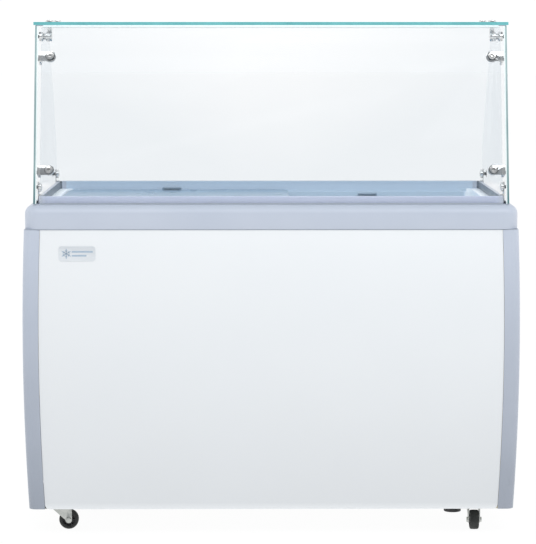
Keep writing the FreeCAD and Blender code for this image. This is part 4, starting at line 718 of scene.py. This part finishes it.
def shrink(outline, inset):
    """Moves each side of a counterclockwise outline inwards."""
    moved = []
    count = len(outline)
    for index in range(count):
        before = Vector(outline[index - 1])
        here = Vector(outline[index])
        after = Vector(outline[(index + 1) % count])
        way_in = (here - before).normalized()
        way_out = (after - here).normalized()
        side_in = Vector((-way_in.y, way_in.x))
        side_out = Vector((-way_out.y, way_out.x))
        middle = (side_in + side_out).normalized()
        share = max(0.35, middle.dot(side_in))
        moved.append(tuple(here + middle * (inset / share)))
    return moved


def round_outline(half_x, half_y, radius, steps=8):
    """Counterclockwise rectangle with round corners about the origin."""
    points = []
    for quarter, (side_x, side_y) in enumerate(((1, 1), (-1, 1), (-1, -1), (1, -1))):
        for step in range(steps + 1):
            angle = math.pi / 2 * (quarter + step / steps)
            points.append((side_x * (half_x - radius) + radius * math.cos(angle),
                           side_y * (half_y - radius) + radius * math.sin(angle)))
    return points


def tube(mesh, path, radius, steps=16):
    """Round bar with flat ends along a list of points."""
    rings = []
    count = len(path)
    for index, spot in enumerate(path):
        before = path[max(index - 1, 0)]
        after = path[min(index + 1, count - 1)]
        way = facing(spot, (after - before).normalized())
        rings.append([mesh.verts.new(way @ Vector((radius * math.cos(2 * math.pi * k / steps),
                                                   radius * math.sin(2 * math.pi * k / steps), 0)))
                      for k in range(steps)])
    for lower, upper in zip(rings, rings[1:]):
        for k in range(steps):
            after = (k + 1) % steps
            mesh.faces.new((lower[k], lower[after], upper[after], upper[k]))
    mesh.faces.new(list(reversed(rings[0])))
    mesh.faces.new(rings[-1])


def laid_flat(points, where, first, second):
    """Outline given along two world directions, in a frame's own X and Y."""
    turned = where.inverted().to_3x3()
    across = turned @ Vector(first)
    up = turned @ Vector(second)
    return [tuple((across * x + up * z).xy) for x, z in points]


def finish_piece(name, mesh, finish, body):
    """Turns a bmesh into a named piece that rides on a body."""
    bmesh.ops.recalc_face_normals(mesh, faces=mesh.faces)
    for face in mesh.faces:
        face.smooth = True
    for edge in mesh.edges:
        if len(edge.link_faces) == 2 and edge.calc_face_angle(0) > SHARP_ANGLE:
            edge.smooth = False
    data = bpy.data.meshes.new(name)
    mesh.to_mesh(data)
    mesh.free()
    piece = bpy.data.objects.new(name, data)
    bpy.context.scene.collection.objects.link(piece)
    data.materials.append(finish)
    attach(piece, body)
    return piece


# ---------------------------------------------------------- guard fittings

HEX_SOCKET = 3.2 * MM


def hexagon(reach, angle):
    """Distance from the centre to a hexagon's side, flats at reach."""
    turned = (angle + math.pi / 6) % (math.pi / 3) - math.pi / 6
    return reach / math.cos(turned)


def bolt_levels(points, axis):
    """Lengths and radii of a capped bolt along its axis, nut end first."""
    axis = Vector(axis)
    along = [p.dot(axis) for p in points]
    top, foot = max(along), min(along)
    ends = [p for p, t in zip(points, along) if top - t < 0.05 * MM]
    line = sum(ends, Vector()) / len(ends)
    radial = [((p - line) - axis * (p - line).dot(axis)).length for p in points]
    cap = max(r for r, t in zip(radial, along) if top - t < 0.05 * MM)
    nut = max(r for r, t in zip(radial, along) if t - foot < 0.05 * MM)
    cap_foot = min(t for r, t in zip(radial, along) if r > cap * 0.98)
    return line, top, cap_foot, foot, cap, nut


def turned_cap(mesh, where, radius, height):
    """Domed screw cap with a chamfered skirt, a ring and a hex socket."""
    dome = height * 0.22
    socket_depth = min(height * 0.55, 2.2 * MM)
    profile = [
        (radius * 0.55, 0), (radius - 0.4 * MM, 0), (radius, 0.4 * MM),
        (radius, height - dome - 0.5 * MM), (radius - 0.3 * MM, height - dome),
        (radius * 0.78, height - dome * 0.45), (radius * 0.72, height - dome * 0.62),
        (radius * 0.66, height - dome * 0.40), (radius * 0.5, height - dome * 0.12),
        (HEX_SOCKET + 0.5 * MM, height), (HEX_SOCKET, height - 0.25 * MM),
        (HEX_SOCKET, height - socket_depth), (HEX_SOCKET * 0.5, height - socket_depth - 0.1 * MM),
        (0, height - socket_depth - 0.1 * MM),
    ]
    first_hex = 10

    def shape(index, reach, angle):
        return hexagon(reach, angle) if index >= first_hex else reach
    lathe(mesh, profile, where, shape=shape)


def acorn_nut(mesh, where, radius, height):
    """Low hexagon nut with a crowned top, facing +Z of the frame."""
    flats = radius * 0.9
    profile = [(flats * 0.5, 0), (flats, 0), (flats, height * 0.7),
               (flats * 0.86, height * 0.95), (flats * 0.4, height), (0, height)]

    def shape(index, reach, angle):
        return hexagon(reach, angle) if index in (1, 2) else reach
    lathe(mesh, profile, where, shape=shape)


def guard_bolts(top_height):
    """Each bolt's axis, a point of its line at height 0, and its measures.

    A bolt that reaches over top_height stands upright in the top pane.
    """
    lean = Vector(pane_across("guard_front_glass"))
    if lean.y > 0:
        lean = -lean
    glass_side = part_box("guard_side_glass_right")[1].x
    for points in islands("guard_bolts"):
        low, high = corners_of(points)
        if high.z > top_height:
            axis = Vector((0, 0, 1))
        elif max(abs(low.x), abs(high.x)) > glass_side + 0.5 * MM:
            axis = Vector((math.copysign(1, centre_of(points).x), 0, 0))
        else:
            axis = lean
        line, *measures = bolt_levels(points, axis)
        yield axis, line - axis * line.dot(axis), measures


def guard_bolt_set():
    """Every bolt of the guard, turned and polished, in place of plain rods."""
    mesh = bmesh.new()
    for axis, base, measures in guard_bolts(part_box("guard_top_glass")[0].z + 10 * MM):
        top, cap_foot, foot, cap, nut = measures
        turned_cap(mesh, facing(base + axis * cap_foot, axis), cap, top - cap_foot)
        shank = [base + axis * (foot + 1.6 * MM), base + axis * (cap_foot + 0.2 * MM)]
        tube(mesh, shank, 3.9 * MM, steps=24)
        acorn_nut(mesh, facing(base + axis * (foot + 2 * MM), -axis), nut, 2 * MM)
    piece = finish_piece("guard_bolt_set", mesh, FINISH["chrome"], "cabinet")
    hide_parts("guard_bolts")


def glass_washers():
    """Thin black washers between the clamps' caps and the panes."""
    width = 0.35 * MM
    rim = 1.3 * MM
    mesh = bmesh.new()
    for axis, base, measures in guard_bolts(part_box("guard_top_glass")[1].z):
        top, cap_foot, foot, cap, nut = measures
        ring = [(cap * 0.5, 0), (cap + rim, 0), (cap + rim, width), (cap * 0.5, width), (cap * 0.5, 0)]
        lathe(mesh, ring, facing(base + axis * (cap_foot + 0.02 * MM), axis))
    bmesh.ops.remove_doubles(mesh, verts=mesh.verts, dist=0.001 * MM)
    finish_piece("guard_washers", mesh, FINISH["black_rubber"], "cabinet")


def glass_strip():
    """Clear blue seal strip in the gap over the front pane, with a faint painted glow."""
    s = Shader("clear_strip")
    streak = s.spread(s.noise(0.02, 3, 0.5, (0.05, 1, 1)), 0.3, 0.7)
    tone = s.mix(streak, (0.84, 0.96, 0.98), (0.92, 0.99, 1.0))
    # painted glow: the strip gives off a little light in its own tone, though it is no lamp
    finish = s.finish(s.principled(
        Base_Color=tone, Roughness=s.spread(streak, 0, 1, 0.12, 0.25), IOR=1.45,
        Normal=s.bump(streak, 0.00002), Emission_Color=tone, Emission_Strength=0.10))
    pane_low, pane_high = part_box("guard_front_glass")
    top_low, top_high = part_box("guard_top_glass")
    gap = 0.3 * MM
    half_y = 3.2 * MM
    bottom = pane_high.z + gap
    top = top_low.z - gap
    radius = 2.4 * MM
    half_z = (top - bottom) / 2
    outline = [(x, y + bottom + half_z) for x, y in round_outline(half_y, half_z, radius)]
    start = facing(Vector((pane_low.x + 4 * MM, pane_high.y - 4 * MM, 0)), (1, 0, 0))
    placed = laid_flat(outline, start, (0, 1, 0), (0, 0, 1))
    mesh = bmesh.new()
    slab(mesh, placed, start, 0, pane_high.x - pane_low.x - 8 * MM, 0.8 * MM)
    finish_piece("front_strip", mesh, finish, "cabinet")


def closed_band(mesh, outer, inner, low, high):
    """Ring of rectangular section between two outlines of equal point counts."""
    rings = [[mesh.verts.new((x, y, z)) for x, y in line]
             for z in (low, high) for line in (outer, inner)]
    low_out, low_in, high_out, high_in = rings
    for first, second in ((low_out, high_out), (high_out, high_in), (high_in, low_in), (low_in, low_out)):
        for index in range(len(first)):
            after = (index + 1) % len(first)
            mesh.faces.new((first[index], first[after], second[after], second[index]))


def seam_gasket():
    """Grey lip that fills the seam under the moulded frame."""
    frame_low, frame_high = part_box("top_frame")
    panel_low, panel_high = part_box("front_panel")
    pillar_low, pillar_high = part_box("pillar_front_left")
    half_x = -pillar_low.x - 8.5 * MM
    half_y = -panel_low.y - 0.9 * MM
    width = 12 * MM
    play = 0.1 * MM
    mesh = bmesh.new()
    outer = round_outline(half_x, half_y, 17 * MM)
    inner = round_outline(half_x - width, half_y - width, 8 * MM)
    levels = (panel_high.z + play, frame_low.z - play)
    closed_band(mesh, outer, inner, *levels)
    finish_piece("seam_gasket", mesh, GASKET, "cabinet")


def rim_bead():
    """Soft bead lying in the groove at the foot of the frame's raised rim."""
    rim_x = 586 * MM
    rim_y = 298.5 * MM
    corner = 28 * MM
    play = 0.1 * MM
    width = 2.5 * MM
    levels = (834.1 * MM, 835.5 * MM)
    mesh = bmesh.new()
    inner = round_outline(rim_x + play, rim_y + play, corner)
    outer = round_outline(rim_x + width - play, rim_y + width - play, corner + width)
    closed_band(mesh, outer, inner, *levels)
    finish_piece("rim_bead", mesh, FINISH["grey_rubber"], "cabinet")


def pane_bed():
    """Pale wedge bead that closes the gap under the front pane's slanted foot."""
    pane_low, pane_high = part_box("guard_front_glass")
    seat_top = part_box("guard_seat")[1].z
    corners = [v.co for v in NODES["guard_front_glass"].data.vertices]
    toe = min(corners, key=lambda co: (round(co.y, 5), co.z))
    play = 0.12 * MM
    front = toe.y + 0.5 * MM
    floor = seat_top + play
    wedge = [(front, floor), (front + 6.0 * MM, floor), (front, toe.z - 2 * play)]
    start = facing(Vector((pane_low.x + 1 * MM, 0, 0)), (1, 0, 0))
    placed = laid_flat(wedge, start, (0, 1, 0), (0, 0, 1))
    mesh = bmesh.new()
    slab(mesh, placed, start, 0, pane_high.x - pane_low.x - 2 * MM)
    finish_piece("pane_bed", mesh, FINISH["grey_rubber"], "cabinet")


# ------------------------------------------------------------------ badge

def badge_sign():
    """Plain six-armed frost star with two bars, standing proud of the plate."""
    low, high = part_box("badge_plate")
    middle = (low + high) / 2
    half_x = (high.x - low.x) / 2
    half_z = (high.z - low.z) / 2
    where = facing(Vector((middle.x, low.y, middle.z)), (0, -1, 0))

    def flat(points):
        return laid_flat(points, where, (1, 0, 0), (0, 0, 1))
    sunk = -0.15 * MM
    proud = 0.25 * MM
    mesh = bmesh.new()
    star_x = -half_x * 0.58
    arm = half_z * 0.66
    for turn in range(6):
        angle = math.radians(60 * turn + 90)
        way = Vector((math.cos(angle), math.sin(angle)))
        side = Vector((-way.y, way.x))
        fork = way * arm * 0.42
        bars = [(way, Vector((0, 0)), 0.02, 1.0, 0.085),
                ((way + side * 0.95).normalized(), fork, 0.0, 0.34, 0.06),
                ((way - side * 0.95).normalized(), fork, 0.0, 0.34, 0.06)]
        for direction, origin, start, stop, width in bars:
            across = Vector((-direction.y, direction.x)) * arm * width
            a = origin + direction * arm * start
            b = origin + direction * (arm * stop)
            quad = [a - across, b - across, b + across, a + across]
            slab(mesh, flat([(star_x + p.x, p.y) for p in quad]), where, sunk, proud)
    for line, (left, stop) in enumerate(((-0.28, 0.86), (-0.28, 0.52))):
        z = half_z * (0.26 - 0.52 * line)
        thick = half_z * 0.10
        quad = [(half_x * left, z - thick), (half_x * stop, z - thick),
                (half_x * stop, z + thick), (half_x * left, z + thick)]
        slab(mesh, flat(quad), where, sunk, proud)
    finish_piece("badge_sign", mesh, MARK, "cabinet")


MARK = badge_mark()
GASKET = rubber("seam_rubber", (0.40, 0.445, 0.515), (0.52, 0.56, 0.61), 0.0013)
DIGIT = lit_digit()


# ---------------------------------------------------------------- casters

def wheel_frame(key):
    """Frame on a wheel's axis, +Z along the axle."""
    low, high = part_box("caster_wheel_" + key)
    centre = (low + high) / 2
    joint = [j for j in frame["joints"] if j["name"] == "wheel_%s_roll" % key][0]
    return facing(centre, joint["axis"])


def wheel(key):
    """Rubber tyre with a crowned tread on a plastic hub with six spokes."""
    where = wheel_frame(key)
    node = "caster_wheel_" + key
    axis = where.to_3x3() @ Vector((0, 0, 1))
    points = [v.co for v in NODES[node].data.vertices]
    centre = where.translation
    half = max(abs((p - centre).dot(axis)) for p in points)
    radius = max(((p - centre) - axis * (p - centre).dot(axis)).length for p in points)
    radius = min(radius, 25 * MM)
    hub = radius - 7.5 * MM
    tyre = bmesh.new()
    corner = 4.5 * MM
    profile = [(hub, -half + 1.5 * MM), (hub + 0.4 * MM, -half + 0.5 * MM), (hub + 1.4 * MM, -half)]
    for step in range(7):
        angle = math.pi / 2 * step / 6
        profile.append((radius - corner - 0.25 * MM + corner * math.sin(angle),
                        -half + corner - corner * math.cos(angle)))
    profile.append((radius, 0))
    upper = [(r, -h) for r, h in reversed(profile[:-1])]
    lathe(tyre, profile + upper + [profile[0]], where, steps=72)
    bmesh.ops.remove_doubles(tyre, verts=tyre.verts, dist=0.001 * MM)
    rubber_ring = finish_piece("wheel_tyre_" + key, tyre, FINISH["black_rubber"],
                               BODY_OF[node])
    core = bmesh.new()
    bore = 4.05 * MM
    web = 3.2 * MM
    profile = [
        (bore, -half + 1.2 * MM), (bore + 4.4 * MM, -half + 1.2 * MM), (bore + 4.8 * MM, -half + 2.0 * MM),
        (bore + 4.8 * MM, -web), (hub - 2.0 * MM, -web), (hub - 1.4 * MM, -half + 1.7 * MM),
        (hub, -half + 1.5 * MM), (hub, half - 1.5 * MM), (hub - 1.4 * MM, half - 1.7 * MM),
        (hub - 2.0 * MM, web), (bore + 4.8 * MM, web), (bore + 4.8 * MM, half - 2.0 * MM),
        (bore + 4.4 * MM, half - 1.2 * MM), (bore, half - 1.2 * MM), (bore, -half + 1.2 * MM),
    ]
    lathe(core, profile, where, steps=60)
    bmesh.ops.remove_doubles(core, verts=core.verts, dist=0.001 * MM)
    for arm in range(6):
        spoke = where @ Matrix.Rotation(math.radians(60 * arm), 4, "Z")
        for side in (-1, 1):
            quad = [(bore + 4 * MM, -1.0 * MM), (hub - 1.2 * MM, -1.0 * MM),
                    (hub - 1.2 * MM, 1.0 * MM), (bore + 4 * MM, 1.0 * MM)]
            floor, roof = sorted((side * (web - 0.3 * MM), side * (half - 2.6 * MM)))
            slab(core, quad, spoke, floor, roof, 0.25 * MM)
    finish_piece("wheel_hub_" + key, core, FINISH["black_plastic"], BODY_OF[node])
    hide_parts(node)


def axle_nuts(key):
    """Domed washer on each end of a caster's axle."""
    where = wheel_frame(key)
    axis = where.to_3x3() @ Vector((0, 0, 1))
    node = "caster_fork_" + key
    points = [v.co for v in NODES[node].data.vertices]
    reach = max(abs((p - where.translation).dot(axis)) for p in points)
    mesh = bmesh.new()
    for side in (-1, 1):
        out = axis * side
        foot = where.translation + out * (reach - 4.0 * MM)
        place = facing(foot, out)
        lathe(mesh, [(4.2 * MM, 0), (7.2 * MM, 0), (7.4 * MM, 0.2 * MM), (7.2 * MM, 0.8 * MM),
                     (6.0 * MM, 0.85 * MM), (0, 0.85 * MM)], place)
    finish_piece("axle_washers_" + key, mesh, FINISH["zinc"], BODY_OF[node])


# ------------------------------------------------------------------- rear

def cross_heads():
    """Pan head screws with a cross recess, in place of the plain discs."""
    mesh = bmesh.new()
    for points in islands("rear_screws"):
        low, high = corners_of(points)
        centre = (low + high) / 2
        radius = (high.x - low.x) / 2
        height = high.y - low.y
        where = facing(Vector((centre.x, low.y, centre.z)), (0, 1, 0))
        slot_depth = height * 0.8
        arm = radius * 0.62
        profile = [(radius * 0.9, 0), (radius, height * 0.2), (radius * 0.92, height * 0.72),
                   (radius * 0.7, height), (arm, height),
                   (arm * 0.9, height - slot_depth), (0, height - slot_depth)]

        def shape(index, reach, angle):
            if index not in (4, 5):
                return reach
            part = angle % (math.pi / 2)
            part = min(part, math.pi / 2 - part)
            return reach if part < math.radians(16) else reach * 0.34
        lathe(mesh, profile, where, steps=64, shape=shape)
    piece = finish_piece("rear_screw_heads", mesh, FINISH["zinc"], "cabinet")
    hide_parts("rear_screws")


SEGMENTS = {
    "top": ((-1, 2), (1, 2)), "upper_left": ((-1, 0), (-1, 2)), "upper_right": ((1, 0), (1, 2)),
    "middle": ((-1, 0), (1, 0)), "lower_left": ((-1, -2), (-1, 0)),
    "lower_right": ((1, -2), (1, 0)), "bottom": ((-1, -2), (1, -2)),
}
SHOWN = [("middle",), ("upper_right", "lower_right"), tuple(SEGMENTS)]


def display_digits():
    """Seven-segment reading of minus eighteen degrees."""
    low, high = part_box("temperature_display")
    middle = (low + high) / 2
    size = (high.z - low.z) * 0.14
    pitch = size * 4.0
    mesh = bmesh.new()
    where = facing(Vector((middle.x, high.y - 0.2 * MM, middle.z)), (0, 1, 0))
    for place, lit in enumerate(SHOWN):
        for name in lit:
            (x0, z0), (x1, z1) = SEGMENTS[name]
            thick = 0.22
            gap = 0.2
            if z0 == z1:
                quad = [(x0 + gap, z0 - thick), (x1 - gap, z0 - thick),
                        (x1 - gap, z0 + thick), (x0 + gap, z0 + thick)]
            else:
                quad = [(x0 - thick, z0 + gap), (x0 + thick, z0 + gap),
                        (x0 + thick, z1 - gap), (x0 - thick, z1 - gap)]
            moved = [((place - 1) * pitch + x * size, z * size) for x, z in quad]
            slab(mesh, laid_flat(moved, where, (-1, 0, 0), (0, 0, 1)), where, 0, 0.2 * MM)
    finish_piece("display_digits", mesh, DIGIT, "cabinet")


# ------------------------------------------------------------------ studio

def floor_finish():
    """White acrylic table top, lit through from below."""
    s = Shader("studio_floor")
    tone = s.mix(s.spread(s.noise(1.2, 3), 0.3, 0.7), (0.060, 0.061, 0.062), (0.070, 0.071, 0.072))
    return s.finish(s.principled(
        Base_Color=tone, Roughness=s.spread(s.noise(0.4, 3), 0.3, 0.7, 0.65, 0.8),
        Normal=s.bump(s.noise(0.004, 2), 0.00003), Specular_IOR_Level=0.0,
        Emission_Color=(1.0, 1.0, 1.0), Emission_Strength=0.95))


def studio_floor():
    mesh = bmesh.new()
    lathe(mesh, [(0, 0), (2, 0), (8, 0), (60, 0)], Matrix.Identity(4), steps=96)
    data = bpy.data.meshes.new("studio_floor")
    mesh.to_mesh(data)
    mesh.free()
    ground = bpy.data.objects.new("studio_floor", data)
    bpy.context.scene.collection.objects.link(ground)
    data.materials.append(floor_finish())


def studio_sky():
    """White surroundings with a darker room behind the camera."""
    world = bpy.data.worlds.new("studio")
    bpy.context.scene.world = world
    world.use_nodes = True
    tree = world.node_tree
    tree.nodes.clear()

    def ramp(value, low, high):
        made = tree.nodes.new("ShaderNodeMapRange")
        made.interpolation_type = "SMOOTHSTEP"
        made.inputs["From Min"].default_value = low
        made.inputs["From Max"].default_value = high
        tree.links.new(value, made.inputs["Value"])
        return made.outputs["Result"]

    def blend(amount, first, second):
        made = tree.nodes.new("ShaderNodeMix")
        made.data_type = "RGBA"
        tree.links.new(amount, made.inputs["Factor"])
        colours = [socket for socket in made.inputs if socket.type == "RGBA"]
        for socket, value in zip(colours, (first, second)):
            if isinstance(value, tuple):
                socket.default_value = (*value, 1.0)
            else:
                tree.links.new(value, socket)
        return [socket for socket in made.outputs if socket.type == "RGBA"][0]

    coords = tree.nodes.new("ShaderNodeTexCoord")
    parts = tree.nodes.new("ShaderNodeSeparateXYZ")
    tree.links.new(coords.outputs["Generated"], parts.inputs["Vector"])
    sky = blend(ramp(parts.outputs["Z"], 0.1, 0.8), (1.03, 1.035, 1.04), (0.98, 1.0, 1.02))
    ahead = ramp(parts.outputs["Y"], -0.15, -0.75)
    low = ramp(parts.outputs["Z"], 0.75, 0.40)
    both = tree.nodes.new("ShaderNodeMath")
    both.operation = "MULTIPLY"
    tree.links.new(ahead, both.inputs[0])
    tree.links.new(low, both.inputs[1])
    light = blend(both.outputs["Value"], sky, (0.42, 0.435, 0.455))
    background = tree.nodes.new("ShaderNodeBackground")
    tree.links.new(light, background.inputs["Color"])
    output = tree.nodes.new("ShaderNodeOutputWorld")
    tree.links.new(background.outputs["Background"], output.inputs["Surface"])


def soft_light(name, spot, aim, width, height, power):
    data = bpy.data.lights.new(name, "AREA")
    data.shape = "RECTANGLE"
    data.size = width
    data.size_y = height
    data.energy = power
    lamp = bpy.data.objects.new(name, data)
    lamp.location = spot
    lamp.rotation_euler = (Vector(aim) - Vector(spot)).to_track_quat("-Z", "Y").to_euler()
    bpy.context.scene.collection.objects.link(lamp)


def studio_lights():
    low, high = cad_box
    middle = (low + high) / 2
    soft_light("key", (-1.3, -2.6, 3.4), middle, 2.4, 1.4, 19)
    soft_light("fill", (1.6, -2.7, 3.2), middle, 2.2, 1.4, 27)


def photo_camera():
    """Level height of the guard's top, a little left, tilted down."""
    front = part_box("top_frame")[0].y
    data = bpy.data.cameras.new("photo_camera")
    data.sensor_width = 36
    data.lens = 151.7
    data.clip_start = 0.1
    data.clip_end = 200
    camera = bpy.data.objects.new("photo_camera", data)
    distance = 5.7
    camera.location = (-0.049, front - distance, 1.276)
    camera.rotation_euler = (math.radians(90 - 6.078), 0, math.radians(-0.405))
    bpy.context.scene.collection.objects.link(camera)
    bpy.context.scene.camera = camera


# ------------------------------------------------------------------- build

dress_nodes()
soften_nodes()
guard_bolt_set()
glass_washers()
glass_strip()
seam_gasket()
rim_bead()
pane_bed()
badge_sign()
for corner in ("front_left", "front_right", "rear_left", "rear_right"):
    wheel(corner)
    axle_nuts(corner)
cross_heads()
display_digits()
studio_floor()
studio_sky()
studio_lights()
photo_camera()
bpy.context.scene.view_settings.view_transform = "Standard"
